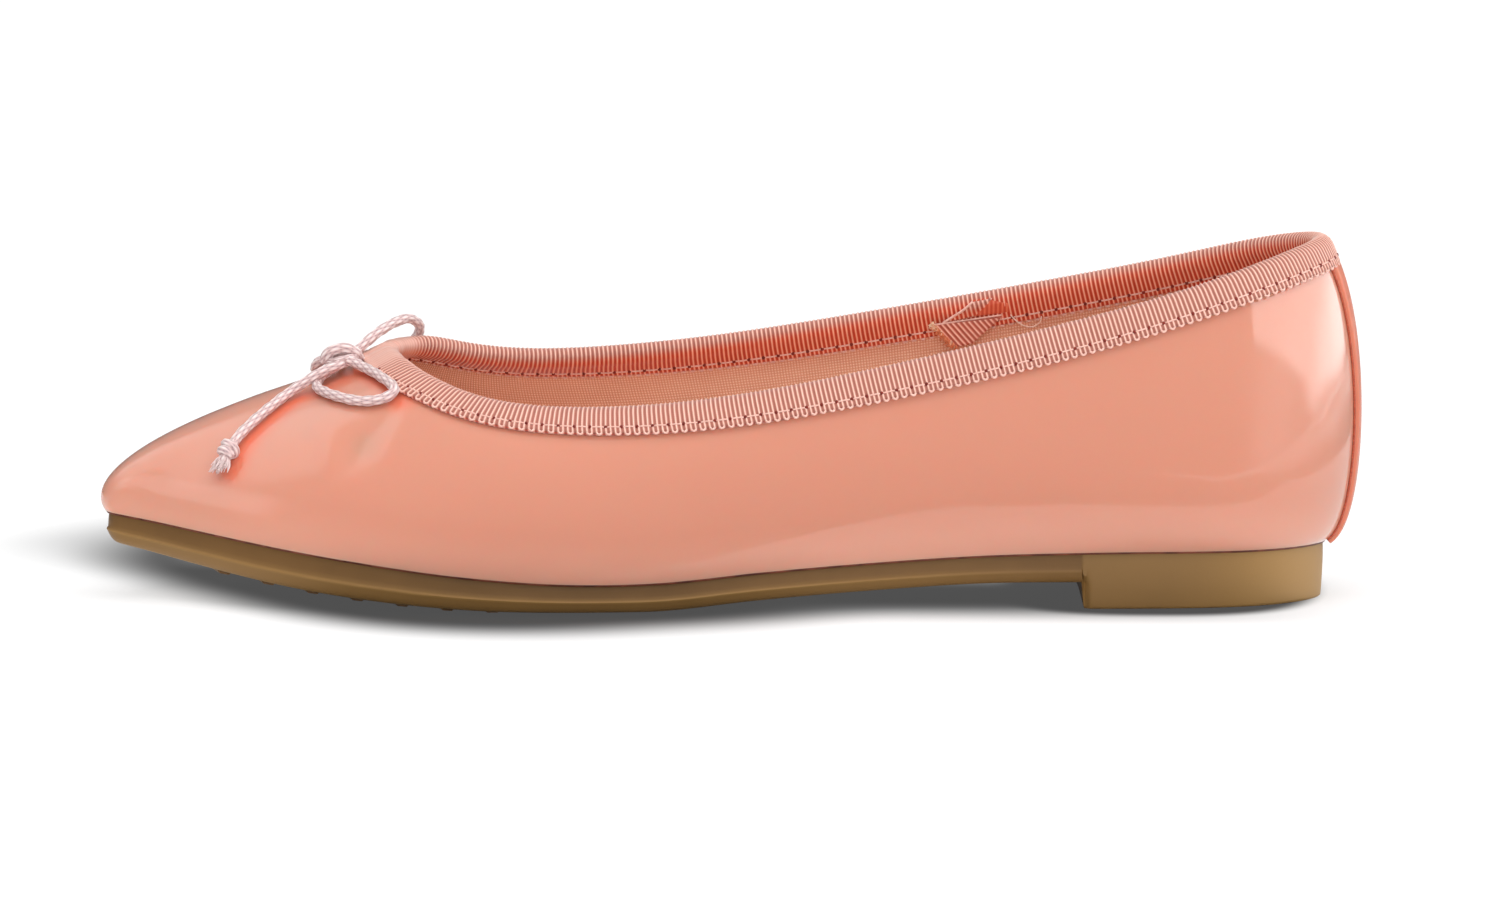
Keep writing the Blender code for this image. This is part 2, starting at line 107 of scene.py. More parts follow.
def finishPiece(bm, name, material, weld=0.002, outward=True, smooth=True, sharp=None):
    bmesh.ops.remove_doubles(bm, verts=bm.verts, dist=weld * mm)
    if outward:
        bmesh.ops.recalc_face_normals(bm, faces=bm.faces)
    mesh = bpy.data.meshes.new(name)
    bm.to_mesh(mesh)
    bm.free()
    if smooth:
        mesh.shade_smooth()
    if sharp:
        mesh.set_sharp_from_angle(angle=math.radians(sharp))
    mesh.materials.append(material)
    piece = bpy.data.objects.new(name, mesh)
    scene.collection.objects.link(piece)
    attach(piece, "root")
    return piece


# camera, floor and light

camera = {"aim": (3.65, 0.0, 29.8), "elevation": 5.5, "distance": 2000.0, "lens": 232.8}


def makeCamera():
    data = bpy.data.cameras.new("camera")
    data.lens = camera["lens"]
    data.sensor_width = 36
    data.clip_start, data.clip_end = 0.05, 60
    holder = bpy.data.objects.new("camera", data)
    tilt = math.radians(camera["elevation"])
    back = Vector((0, -math.cos(tilt), math.sin(tilt)))
    holder.location = (Vector(camera["aim"]) + back * camera["distance"]) * mm
    holder.rotation_euler = (math.pi / 2 - tilt, 0, 0)
    scene.collection.objects.link(holder)
    scene.camera = holder


studio = {
    "floorColour": "#A0A0A0",
    # a wide soft key above, a little to the heel's side and in front; its shadow falls behind
    "key": {"from": (0.2, -0.22, 1.0), "strength": 2.2, "spread": 70},
    # the floor's painted glow, which carries the painted shadow: what it gives in the deepest painted shade
    # and elsewhere
    "paintedGlow": ("#5D5D5D", "#FFFFFF", 0.72),
    # painted shadow: soft pools of shade painted on the floor: middle x and y, half length and half width in
    # millimetres, turn in degrees, power of the rounding (2 is an ellipse, more is squarer), the edge's width
    # over the size
    "paintedShadePools": [
        (-56.2, 24.8, 99.1, 60.1, 115.3, 2.9, 0.24), (38.8, -2.4, 59.6, 36.2, -3.2, 6, 0.76),
        (88.3, 10, 32.4, 50, -2.9, 2.7, 0.12), (-96.2, 100.5, 41.5, 55.8, -2, 1.7, 1.0),
    ],
    # the painted shade ends behind the shoe: it clears between these x and between these y
    "clearing": ((-125, -95), (42, 100)),
    # the room: height of the direction looked in, then its brightness
    "room": [(0.0, 0.08), (0.12, 0.14), (0.5, 0.32), (1.0, 0.5)],
    # how far across and up the heel's softbox its masked lower corner reaches, as shares of its size
    "maskedCorner": (0.54, 0.6),
    # name: position, aim, width, height, watts, softness of its edge, what it lights
    "softboxes": {
        "frontFill": ((0.1, -2.6, 0.35), (0.0, 0.0, 0.03), 2.4, 1.1, 38.0, 0.1, "body"),
        "heelSoftbox": ((1.3, -0.175, 0.688), (0.0, -0.175, 0.688), 2.49, 1.3, 36.0, 0.12, "gloss"),
        "farSoftbox": ((2.8, 0.7, 0.3), (0.0, 0.0, 0.03), 3.4, 1.4, 30.0, 0.9, "gloss"),
        "toeSoftbox": ((-0.95, 0.3, 1.15), (0.0, 0.0, 0.03), 2.1, 1.5, 11.0, 0.45, "gloss"),
        "sideSoftbox": ((2.6, -1.5, 0.35), (0.0, 0.0, 0.03), 2.6, 1.9, 13.0, 0.8, "gloss"),
        "endSoftbox": ((-1.4, -0.5, 0.7), (0.0, 0.0, 0.03), 1.4, 0.9, 5.5, 0.6, "gloss"),
    },
    # painted dark reflection: black sheets on the floor beyond this edge that only the gloss sees, standing
    # in for a dark room;
    # their painted glow rises between these x in metres, to this much
    "paintedDusk": (0.35, 0.9, 1.1),
    # the edge's points, then how far the dark reaches
    "dark": [
        ([(-9000, 0), (-145, 0), (-95, -44), (-30, -58), (20, -80), (80, -105), (330, -105), (9000, -105)],
         (0, -9000)),
        ([(330, -105), (330, 9000)], (9000, 0)),
    ],
}


def softEdge(data, softness, masked):
    # brightness falls off towards the light's border, and is nothing in the masked corner
    data.use_nodes = True
    tree = data.node_tree
    face = addNode(tree, "ShaderNodeNewGeometry")
    split = addNode(tree, "ShaderNodeSeparateXYZ", {"Vector": face.outputs["Parametric"]})
    fades = []
    for axis in ("X", "Y"):
        middle = addNode(tree, "ShaderNodeMath", {0: split.outputs[axis], 1: 0.5}, operation="SUBTRACT")
        offset = addNode(tree, "ShaderNodeMath", {0: middle.outputs["Value"]}, operation="ABSOLUTE")
        fades.append(addNode(tree, "ShaderNodeMapRange", {
            "Value": offset.outputs["Value"], "From Min": 0.5, "From Max": 0.5 - softness / 2,
            "To Min": 0.0, "To Max": 1.0}, interpolation_type="SMOOTHSTEP"))
    both = addNode(tree, "ShaderNodeMath", {0: fades[0].outputs["Result"], 1: fades[1].outputs["Result"]},
                   operation="MULTIPLY")
    if masked:
        reach, height = masked
        across = addNode(tree, "ShaderNodeMath", {0: split.outputs["X"], 1: 1 / reach}, operation="MULTIPLY")
        slant = addNode(tree, "ShaderNodeMath", {
            0: split.outputs["Y"], 1: 1 / height, 2: across.outputs["Value"]}, operation="MULTIPLY_ADD")
        clear = addNode(tree, "ShaderNodeMapRange", {
            "Value": slant.outputs["Value"], "From Min": 0.93, "From Max": 1.07},
            interpolation_type="SMOOTHSTEP")
        both = addNode(tree, "ShaderNodeMath", {0: both.outputs["Value"], 1: clear.outputs["Result"]},
                       operation="MULTIPLY")
    tree.links.new(both.outputs["Value"], tree.nodes["Emission"].inputs["Strength"])


def makeRoom():
    world = bpy.data.worlds.new("studio")
    world.use_nodes = True
    tree = world.node_tree
    way = addNode(tree, "ShaderNodeTexCoord")
    split = addNode(tree, "ShaderNodeSeparateXYZ", {"Vector": way.outputs["Generated"]})
    height = addNode(tree, "ShaderNodeMath", {0: split.outputs["Z"], 1: 0.0}, operation="MAXIMUM")
    ramp = addNode(tree, "ShaderNodeFloatCurve", {"Value": height.outputs["Value"]})
    points = ramp.mapping.curves[0].points
    for point, (x, y) in zip(points, (studio["room"][0], studio["room"][-1])):
        point.location = (x, y)
    for x, y in studio["room"][1:-1]:
        points.new(x, y)
    ramp.mapping.update()
    tree.links.new(ramp.outputs["Value"], tree.nodes["Background"].inputs["Strength"])
    tree.nodes["Background"].inputs["Color"].default_value = (1, 1, 1, 1)
    scene.world = world


def makeDark():
    # painted dark reflection: only reflections see these black sheets, so they throw no shadow and take no
    # light from the shoe
    material, tree, shader = newMaterial("painted dark reflection", Roughness=1.0)
    shader.inputs["Base Color"].default_value = (0.0, 0.0, 0.0, 1.0)
    shader.inputs["Emission Color"].default_value = (1.0, 1.0, 1.0, 1.0)
    place = addNode(tree, "ShaderNodeTexCoord")
    split = addNode(tree, "ShaderNodeSeparateXYZ", {"Vector": place.outputs["Object"]})
    start, end, bright = studio["paintedDusk"]
    paintedDusk = addNode(tree, "ShaderNodeMapRange", {
        "Value": split.outputs["X"], "From Min": start, "From Max": end,
        "To Min": studio["room"][0][1], "To Max": bright}, interpolation_type="SMOOTHSTEP")
    tree.links.new(paintedDusk.outputs["Result"], shader.inputs["Emission Strength"])
    for index, (edge, reach) in enumerate(studio["dark"]):
        near = np.array([(x, y, 0.2) for x, y in edge], float)
        far = np.array([(reach[0] or x, reach[1] or y, 0.2) for x, y in edge], float)
        bm = bmesh.new()
        gridInto(bm, np.stack([near, far]))
        mesh = bpy.data.meshes.new(f"paintedDarkReflection{index}")
        bm.to_mesh(mesh)
        bm.free()
        mesh.materials.append(material)
        sheet = bpy.data.objects.new(f"paintedDarkReflection{index}", mesh)
        sheet.visible_camera = sheet.visible_diffuse = sheet.visible_shadow = False
        sheet.visible_transmission = sheet.visible_volume_scatter = False
        scene.collection.objects.link(sheet)


def makeSweep():
    # matt white floor that glows, with the shoe's shadow painted into its colour and its glow
    material, tree, shader = newMaterial("matt white sweep", Roughness=0.9)
    shader.inputs["Specular IOR Level"].default_value = 0.1
    place = addNode(tree, "ShaderNodeTexCoord")
    # light is how lit the floor is painted: the product of the painted shadow pools, cleared behind the shoe
    light = 1.0
    for x, y, halfLength, halfWidth, angle, power, edge in studio["paintedShadePools"]:
        share = addNode(tree, "ShaderNodeMapping", {
            "Vector": place.outputs["Object"], "Location": (x * mm, y * mm, 0),
            "Rotation": (0, 0, math.radians(angle)), "Scale": (halfLength * mm, halfWidth * mm, 1)},
            vector_type="TEXTURE")
        size = addNode(tree, "ShaderNodeVectorMath", {0: share.outputs["Vector"]}, operation="ABSOLUTE")
        split = addNode(tree, "ShaderNodeSeparateXYZ", {"Vector": size.outputs["Vector"]})
        raised = [addNode(tree, "ShaderNodeMath", {0: split.outputs[axis], 1: power}, operation="POWER")
                  for axis in ("X", "Y")]
        total = addNode(
            tree, "ShaderNodeMath", {0: raised[0].outputs["Value"], 1: raised[1].outputs["Value"]})
        away = addNode(tree, "ShaderNodeMath", {0: total.outputs["Value"], 1: 1 / power}, operation="POWER")
        paintedPool = addNode(tree, "ShaderNodeMapRange", {
            "Value": away.outputs["Value"], "From Min": 1 - edge, "From Max": 1 + edge},
            interpolation_type="SMOOTHERSTEP")
        light = addNode(tree, "ShaderNodeMath", {0: light, 1: paintedPool.outputs["Result"]},
                        operation="MULTIPLY").outputs["Value"]
    split = addNode(tree, "ShaderNodeSeparateXYZ", {"Vector": place.outputs["Object"]})
    clear = [
        addNode(tree, "ShaderNodeMapRange", {
            "Value": split.outputs[axis], "From Min": start * mm, "From Max": end * mm},
            interpolation_type="SMOOTHSTEP")
        for axis, (start, end) in zip(("X", "Y"), studio["clearing"])]
    behind = addNode(tree, "ShaderNodeMath", {0: clear[0].outputs["Result"], 1: clear[1].outputs["Result"]},
                     operation="MULTIPLY")
    light = addNode(tree, "ShaderNodeMapRange", {
        "Value": behind.outputs["Value"], "To Min": light, "To Max": 1.0}).outputs["Result"]
    deep, full, strength = studio["paintedGlow"]
    shader.inputs["Emission Strength"].default_value = strength
    tint = addNode(tree, "ShaderNodeValToRGB", {"Fac": light}, [
        (0.0, "#000000"), (1.0, studio["floorColour"])])
    tree.links.new(tint.outputs["Color"], shader.inputs["Base Color"])
    paintedGlow = addNode(tree, "ShaderNodeValToRGB", {"Fac": light}, [(0.0, deep), (1.0, full)])
    tree.links.new(paintedGlow.outputs["Color"], shader.inputs["Emission Color"])
    return material


def makeStudio():
    bm = bmesh.new()
    bmesh.ops.create_grid(bm, x_segments=1, y_segments=1, size=9)
    mesh = bpy.data.meshes.new("floor")
    bm.to_mesh(mesh)
    bm.free()
    mesh.materials.append(makeSweep())
    floor = bpy.data.objects.new("floor", mesh)
    scene.collection.objects.link(floor)
    makeRoom()
    makeDark()
    scene.view_settings.view_transform = "Standard"
    key = bpy.data.lights.new("softKey", "SUN")
    key.energy, key.angle = studio["key"]["strength"], math.radians(studio["key"]["spread"])
    holder = bpy.data.objects.new("softKey", key)
    holder.rotation_euler = Vector(studio["key"]["from"]).to_track_quat("Z", "Y").to_euler()
    holder.visible_glossy = False
    scene.collection.objects.link(holder)
    # the softboxes light the shoe but not the floor, so that the shadow stays deep
    shoeOnly = bpy.data.collections.new("all but the floor")
    shoeOnly.objects.link(floor)
    shoeOnly.collection_objects[0].light_linking.link_state = "EXCLUDE"
    for name, (position, aim, width, height, watts, softness, use) in studio["softboxes"].items():
        data = bpy.data.lights.new(name, "AREA")
        data.shape = "RECTANGLE"
        data.size, data.size_y, data.energy = width, height, watts
        softEdge(data, softness, studio["maskedCorner"] if name == "heelSoftbox" else None)
        light = bpy.data.objects.new(name, data)
        light.location = position
        light.rotation_euler = (Vector(aim) - Vector(position)).to_track_quat("-Z", "Y").to_euler()
        light.visible_glossy = use != "body"
        light.visible_diffuse = use != "gloss"
        light.light_linking.receiver_collection = shoeOnly
        scene.collection.objects.link(light)


makeCamera()
makeStudio()
print("camera and studio")


# materials

def makeSatinCord():
    # braided polyester cord: bright yarn crowns, with painted shade in the valleys between them, darker and
    # pinker
    material, tree, shader = newMaterial(
        "braided satin cord", Roughness=0.38, Sheen_Weight=0.5, Sheen_Roughness=0.4)
    crown = addNode(tree, "ShaderNodeAttribute", attribute_name="crown")
    tint = addNode(tree, "ShaderNodeValToRGB", {"Fac": crown.outputs["Fac"]}, [
        (0.0, "#8C6C72"), (0.25, "#BC9C9E"), (0.55, "#DFC0BD"), (1.0, "#FBEFED")])
    tree.links.new(tint.outputs["Color"], shader.inputs["Base Color"])
    # single filaments, about 0.12 mm across, run along each yarn
    layout = addNode(tree, "ShaderNodeUVMap")
    stretch = addNode(tree, "ShaderNodeMapping", {"Vector": layout.outputs["UV"], "Scale": (1.5, 60.0, 1.0)})
    fibres = addNode(
        tree, "ShaderNodeTexNoise", {"Vector": stretch.outputs["Vector"], "Scale": 1.0, "Detail": 2.0})
    bump = addNode(
        tree, "ShaderNodeBump", {"Height": fibres.outputs["Fac"], "Strength": 0.5, "Distance": 0.00008})
    tree.links.new(bump.outputs["Normal"], shader.inputs["Normal"])
    return material


satinCord = makeSatinCord()


# cords: the drawstring's bow

bow = {
    "thickness": 2.3,
    "yarnsAround": 6,       # crowns seen round the cord
    "braidPitch": 4.2,      # length of one crossing
    "relief": 0.14,
    "outerLoop": [
        (-80.1, -1.8, 48.1), (-81.5, -2.4, 47.2), (-83.2, -3.2, 46.3), (-84.5, -4.3, 45.4),
        (-85.3, -6.1, 44.3), (-84.9, -9.0, 43.4), (-83.4, -12.0, 42.9), (-81.4, -15.0, 42.5),
        (-79.1, -17.4, 42.1), (-76.8, -19.1, 41.8), (-74.3, -20.3, 41.8), (-72.2, -20.7, 42.1),
        (-70.4, -20.5, 42.7), (-69.1, -19.9, 43.6), (-69.1, -18.6, 44.5), (-70.2, -16.4, 45.3),
        (-71.6, -13.8, 46.0), (-73.4, -10.6, 46.8), (-75.2, -7.6, 47.4), (-76.9, -5.2, 48.0),
        (-78.6, -4.0, 48.6), (-80.3, -2.6, 48.7),
    ],
    "innerLoop": [
        (-81.5, 0.8, 47.8), (-81.5, 2.4, 48.1), (-81.2, 5.5, 48.3), (-80.6, 10.0, 48.1),
        (-79.4, 14.6, 47.7), (-77.0, 19.2, 47.3), (-73.6, 22.4, 47.3), (-70.0, 23.8, 48.2),
        (-67.0, 23.2, 50.0), (-65.3, 20.9, 52.3), (-65.2, 17.2, 54.5), (-67.4, 13.2, 55.9),
        (-70.7, 9.0, 55.0), (-73.9, 5.3, 53.1), (-77.2, 2.6, 50.3), (-79.1, 0.8, 48.7),
    ],
    "outerTail": [
        (-79.2, -3.0, 48.5), (-81.0, -4.6, 47.7), (-82.9, -5.6, 47.1), (-85.1, -6.5, 46.1),
        (-86.9, -6.8, 45.0), (-88.5, -6.9, 44.0), (-90.6, -7.3, 42.6), (-92.8, -9.2, 41.1),
        (-96.3, -12.9, 38.5), (-99.0, -15.7, 36.2), (-101.0, -17.9, 34.2), (-102.5, -20.2, 32.0),
        (-103.3, -21.5, 30.6), (-103.9, -22.4, 29.3),
    ],
    "innerTail": [
        (-82.0, -0.5, 48.9), (-83.7, 0.5, 48.6), (-85.5, 1.8, 47.7), (-86.1, 4.0, 46.4),
        (-86.1, 6.5, 46.0), (-86.2, 9.5, 45.9), (-86.2, 13.0, 45.5), (-86.5, 16.6, 44.5),
        (-86.8, 20.0, 43.3), (-87.3, 23.1, 42.0), (-88.1, 26.4, 39.9), (-88.7, 28.9, 38.2),
        (-89.2, 30.6, 35.4),
    ],
    # the knot's strands, each with its radius: over the crossing, a narrower turn below it, and one behind
    "knotTurns": [
        ([(-84.2, -2.0, 48.2), (-83.3, -2.8, 49.8), (-81.8, -3.3, 50.9), (-79.6, -3.1, 51.1),
          (-77.7, -2.2, 50.3), (-76.8, -1.0, 48.9), (-76.5, 0.2, 47.9)], 1.05),
        ([(-84.0, -1.6, 48.3), (-82.1, -3.4, 48.5), (-80.2, -4.3, 48.9), (-78.6, -3.7, 49.3),
          (-77.2, -2.0, 49.4)], 0.62),
        ([(-83.2, 1.4, 48.4), (-81.6, 0.4, 49.6), (-79.6, -0.6, 49.9), (-77.8, 0.2, 49.3),
          (-76.8, 1.6, 48.2)], 0.95),
    ],
    # the overhand knot on each tail: radius of its coil and of its strand, where it starts and ends
    "coil": 1.3,
    "coilStrand": 0.9,
    "coilRun": (-1.5, 1.2),
    "tuftYarns": 54,
}


def smoothPath(points, step):
    # evenly spaced points on a smooth curve through the given ones
    points = np.array(points, float)
    padded = np.vstack([2 * points[0] - points[1], points, 2 * points[-1] - points[-2]])
    fine = []
    for before, here, there, after in zip(padded, padded[1:], padded[2:], padded[3:]):
        for t in np.linspace(0, 1, 24, endpoint=False):
            fine.append(0.5 * (
                2 * here + (there - before) * t + (2 * before - 5 * here + 4 * there - after) * t**2
                + (3 * here - before - 3 * there + after) * t**3))
    fine = np.array(fine + [points[-1]])
    run = np.concatenate([[0], np.cumsum(np.linalg.norm(np.diff(fine, axis=0), axis=1))])
    marks = np.linspace(0, run[-1], max(2, round(run[-1] / step) + 1))
    return np.stack([np.interp(marks, run, fine[:, axis]) for axis in range(3)], axis=1)


def tubeFrames(path):
    # two directions across the path at each point, which turn as little as they can
    along = np.gradient(path, axis=0)
    along /= np.linalg.norm(along, axis=1)[:, None]
    across = np.cross(along[0], (0.31, 0.2, 0.93))
    across /= np.linalg.norm(across)
    sides = [across]
    for direction in along[1:]:
        across = sides[-1] - direction * np.dot(sides[-1], direction)
        sides.append(across / np.linalg.norm(across))
    sides = np.array(sides)
    return sides, np.cross(along, sides)


def tubeInto(bm, path, radii, around=8, relief=None):
    # a tube along the path, closed to a point at both ends; relief gives the height at (run, angle)
    sides, ups = tubeFrames(path)
    run = np.concatenate([[0], np.cumsum(np.linalg.norm(np.diff(path, axis=0), axis=1))])
    angles = np.linspace(0, 2 * math.pi, around + 1)
    radii = np.broadcast_to(radii, len(path)).astype(float)
    height = relief(run[:, None], angles[None, :]) if relief else np.zeros((len(path), around + 1))
    grown = radii[:, None] + height * (radii / radii.max())[:, None]
    rings = path[:, None, :] + grown[..., None] * (
        np.cos(angles)[None, :, None] * sides[:, None, :] + np.sin(angles)[None, :, None] * ups[:, None, :])
    ends = np.repeat(path[[0, -1], None, :], around + 1, axis=1)
    points = np.concatenate([ends[:1], rings, ends[1:]])
    crown = np.full(height.shape, 0.7)
    if relief:
        crown = (height - height.min()) / max(1e-9, height.max() - height.min())
    crown = np.vstack([crown[:1], crown, crown[-1:]])
    runs = np.concatenate([run[:1], run, run[-1:]])
    uvs = np.stack(np.broadcast_arrays(runs[:, None], angles[None, :] / (2 * math.pi)), axis=-1)
    return gridInto(bm, points, uvs, crown)


def braid(run, angle):
    # two sets of yarns wind opposite ways, and each crown is where one passes over the other
    turn = bow["yarnsAround"] / 2
    lean = 2 * math.pi * run / bow["braidPitch"] / 2
    one, other = np.cos(turn * angle + lean), np.cos(turn * angle - lean)
    return bow["relief"] * (np.abs(one * other) ** 0.6 * 1.6 - 0.6)


def cordRadii(count, radius, taper=3, pinch=0):
    # rounded ends; pinch is the number of rings over which the knot squeezes an end thinner
    radii = np.full(count, radius)
    fromEnd = np.minimum(np.arange(count), count - 1 - np.arange(count))
    if pinch:
        radii *= 0.55 + 0.45 * np.clip(fromEnd / pinch, 0, 1) ** 0.8
    return radii * np.sqrt(1 - (1 - np.clip((fromEnd + 0.6) / taper, 0, 1)) ** 2)


def makeTailKnot(name, route, rng):
    # a small overhand knot near the end of a tail, and the loose yarns beyond it
    way = smoothPath(route, 0.2)
    middle, tuftStart = way[-16], way[-9]
    along = way[-1] - way[-30]
    along /= np.linalg.norm(along)
    side = np.cross(along, (0, 0, 1.0))
    side /= np.linalg.norm(side)
    up = np.cross(side, along)
    turns = np.linspace(0, 3.0 * math.pi, 40)
    drift = np.linspace(*bow["coilRun"], 40)
    coil = middle + drift[:, None] * along + bow["coil"] * (
        np.cos(turns)[:, None] * side + np.sin(turns)[:, None] * up)
    bm = bmesh.new()
    path = smoothPath(coil, 0.16)
    tubeInto(bm, path, cordRadii(len(path), bow["coilStrand"]), around=20, relief=braid)
    # the tuft parts into two bunches
    for yarn in range(bow["tuftYarns"]):
        bunch = -1 if yarn % 2 else 1
        angle, spread = rng.uniform(0, 2 * math.pi), rng.uniform(0.2, 1.0)
        lean = math.cos(angle) * side + 0.6 * math.sin(angle) * up
        start = tuftStart + 0.9 * spread * lean
        length = rng.uniform(2.6, 4.2)
        tip = start + length * along + 0.55 * length * (0.5 * lean * spread + 0.45 * bunch * side)
        bend = (start + tip) / 2 + 0.35 * bunch * side + rng.uniform(-0.25, 0.25, 3)
        strand = smoothPath([start, bend, tip], 0.5)
        tubeInto(bm, strand, np.linspace(0.24, 0.08, len(strand)), around=5)
    return finishPiece(bm, name, satinCord)


def makeBow():
    radius = bow["thickness"] / 2 - bow["relief"] * 1.3
    cords = {}
    for name, route, nodes in (
        ("bowLoopOuter", "outerLoop", ["bow_loop_outer"]),
        ("bowLoopInner", "innerLoop", ["bow_loop_inner"]),
        ("bowTailOuter", "outerTail", ["bow_tail_outer"]),
        ("bowTailInner", "innerTail", ["bow_tail_inner"]),
    ):
        path = smoothPath(bow[route], 0.16)
        bm = bmesh.new()
        pinch = 14 if "Loop" in name else 0
        tubeInto(bm, path, cordRadii(len(path), radius, pinch=pinch), around=24, relief=braid)
        piece = finishPiece(bm, name, satinCord)
        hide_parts(*nodes)
        cords[name] = (piece, path)
    bm = bmesh.new()
    for turnPoints, turnRadius in bow["knotTurns"]:
        path = smoothPath(turnPoints, 0.16)
        tubeInto(bm, path, cordRadii(len(path), turnRadius), around=24, relief=braid)
    knot = finishPiece(bm, "bowKnot", satinCord)
    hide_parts("bow_knot")
    rng = np.random.default_rng(4)
    ends = {}
    for name, tail, node in (
        ("tailKnotOuter", "outerTail", "tail_knot_outer"),
        ("tailKnotInner", "innerTail", "tail_knot_inner"),
    ):
        ends[name] = makeTailKnot(name, bow[tail], rng)
        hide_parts(node)
    for name, farEnd, on in (
        ("bowLoopOuter", "object", []),
        ("bowLoopInner", "object", []),
        ("bowTailOuter", "knot", [ends["tailKnotOuter"]]),
        ("bowTailInner", "knot", [ends["tailKnotInner"]]),
    ):
        piece, path = cords[name]


makeBow()
print("bow")


# the last: the surface that the upper is pulled over

last = {
    "footLength": 251.7,
    "toeX": -129.0,
    "ballWidth": 78.0,
    "backHeight": 72.6,
    "gap": 0.3,
    "wall": 1.5,
    # share of the length from the toe, then the distance to the outer and inner side over the ball's width
    "plan": [
        (0.000, 0.064, 0.064), (0.033, 0.167, 0.231), (0.118, 0.350, 0.404), (0.235, 0.487, 0.503),
        (0.374, 0.532, 0.468), (0.513, 0.468, 0.340), (0.640, 0.397, 0.276), (0.759, 0.378, 0.314),
        (0.878, 0.365, 0.356), (0.960, 0.260, 0.256), (1.000, 0.000, 0.000),
    ],
    # share of the length, the two sides over the ball's width, their heights over the back's height
    "topline": [
        (0.2310, -0.054, 0.054, 0.694, 0.694), (0.2360, 0.034, 0.122, 0.683, 0.702),
        (0.2488, 0.122, 0.180, 0.654, 0.703), (0.2744, 0.208, 0.235, 0.613, 0.692),
        (0.3443, 0.308, 0.318, 0.556, 0.656), (0.4813, 0.359, 0.359, 0.571, 0.684),
        (0.6242, 0.356, 0.354, 0.657, 0.758), (0.7434, 0.340, 0.337, 0.750, 0.831),
        (0.8626, 0.305, 0.303, 0.858, 0.912), (0.9512, 0.205, 0.205, 0.956, 0.984),
        (0.9955, 0.000, 0.000, 1.008, 1.008),
    ],
    # pull out and up at the foot, belly out and up, pull out and down at the cut edge
    "swell": [
        (5.5, 7.5, 18.0, 2.2, 21.0, 8.0), (5.0, 7.5, 15.5, 2.0, 20.0, 9.8), (4.0, 8.0, 10.0, 3.4, 17.0, 6.6),
        (3.0, 8.0, 6.5, 2.0, 15.5, 6.0), (2.5, 8.0, 5.0, 0.5, 14.0, 6.5), (3.5, 8.0, 4.0, 0.0, 10.0, 8.5),
        (4.5, 8.5, 5.0, 0.0, 6.5, 10.0), (5.0, 8.5, 5.5, 0.0, 5.0, 11.0), (5.5, 7.5, 5.5, -1.0, 5.5, 11.5),
        (6.0, 5.0, 6.0, -4.0, 7.0, 11.5), (6.0, 3.0, 8.2, -4.5, 7.5, 11.0),
    ],
    # share of the length, height of the sole's top above the floor, its thickness
    "bed": [
        (0.000, 17.7, 5.8), (0.080, 14.9, 7.0), (0.190, 10.8, 7.5), (0.295, 7.5, 6.6), (0.390, 6.0, 5.6),
        (0.455, 6.2, 5.7), (0.530, 7.8, 5.6), (0.640, 9.7, 5.6), (0.720, 10.8, 5.6), (0.800, 11.3, 5.9),
        (1.000, 11.3, 5.9),
    ],
}
sections = len(last["plan"]) - 1
turn = 2 * sections    # stations 0 at the toe, then the outer side, 10 at the back, then the inner side


def closedSpline(rows):
    rows = np.array(rows, float)
    count = len(rows)
    system = 4 * np.eye(count) + np.roll(np.eye(count), 1, axis=1) + np.roll(np.eye(count), -1, axis=1)
    slopes = np.linalg.solve(system, 3 * (np.roll(rows, -1, axis=0) - np.roll(rows, 1, axis=0)))

    def at(station):
        station = np.asarray(station, float)
        t = (station - np.floor(station))[..., None]
        first = np.floor(station).astype(int) % count
        second = (first + 1) % count
        return ((1 + 2 * t) * (1 - t) ** 2 * rows[first] + t * (1 - t) ** 2 * slopes[first]
                + t * t * (3 - 2 * t) * rows[second] - t * t * (1 - t) * slopes[second])

    return at


def roundTheShoe(rows, outer, inner):
    return closedSpline([outer(row) for row in rows] + [inner(row) for row in rows[-2:0:-1]])


def alongX(share):
    return last["toeX"] + share * last["footLength"]


planCurve = roundTheShoe(
    last["plan"],
    lambda row: (alongX(row[0]), -row[1] * last["ballWidth"]),
    lambda row: (alongX(row[0]), row[2] * last["ballWidth"]))
toplineCurve = roundTheShoe(
    last["topline"],
    lambda row: (alongX(row[0]), -row[1] * last["ballWidth"], row[3] * last["backHeight"]),
    lambda row: (alongX(row[0]), row[2] * last["ballWidth"], row[4] * last["backHeight"]))
swellCurve = roundTheShoe(last["swell"], lambda row: row, lambda row: row)


def alongBed(x, column):
    along = np.array([row[0] for row in last["bed"]])
    values = np.array([row[column] for row in last["bed"]])
    slopes = np.gradient(values, along)
    share = np.clip((np.asarray(x, float) - last["toeX"]) / last["footLength"], 0, 1)
    first = np.clip(np.searchsorted(along, share, side="right") - 1, 0, len(along) - 2)
    span = along[first + 1] - along[first]
    t = (share - along[first]) / span
    return ((1 + 2 * t) * (1 - t) ** 2 * values[first] + t * (1 - t) ** 2 * span * slopes[first]
            + t * t * (3 - 2 * t) * values[first + 1] - t * t * (1 - t) * span * slopes[first + 1])


def outward(curve, station):
    ahead, behind = curve(station + 0.01), curve(station - 0.01)
    run, side = ahead[..., 0] - behind[..., 0], ahead[..., 1] - behind[..., 1]
    length = np.hypot(run, side)
    return np.stack([side / length, -run / length, np.zeros_like(run)], axis=-1)


def feather(station, inset=0.0):
    # a point on the line where the upper meets the sole, or that far inside it
    station = np.asarray(station, float)
    flat = planCurve(station) - np.asarray(inset)[..., None] * outward(planCurve, station)[..., :2]
    return np.concatenate([flat, alongBed(flat[..., 0], 1)[..., None]], axis=-1)


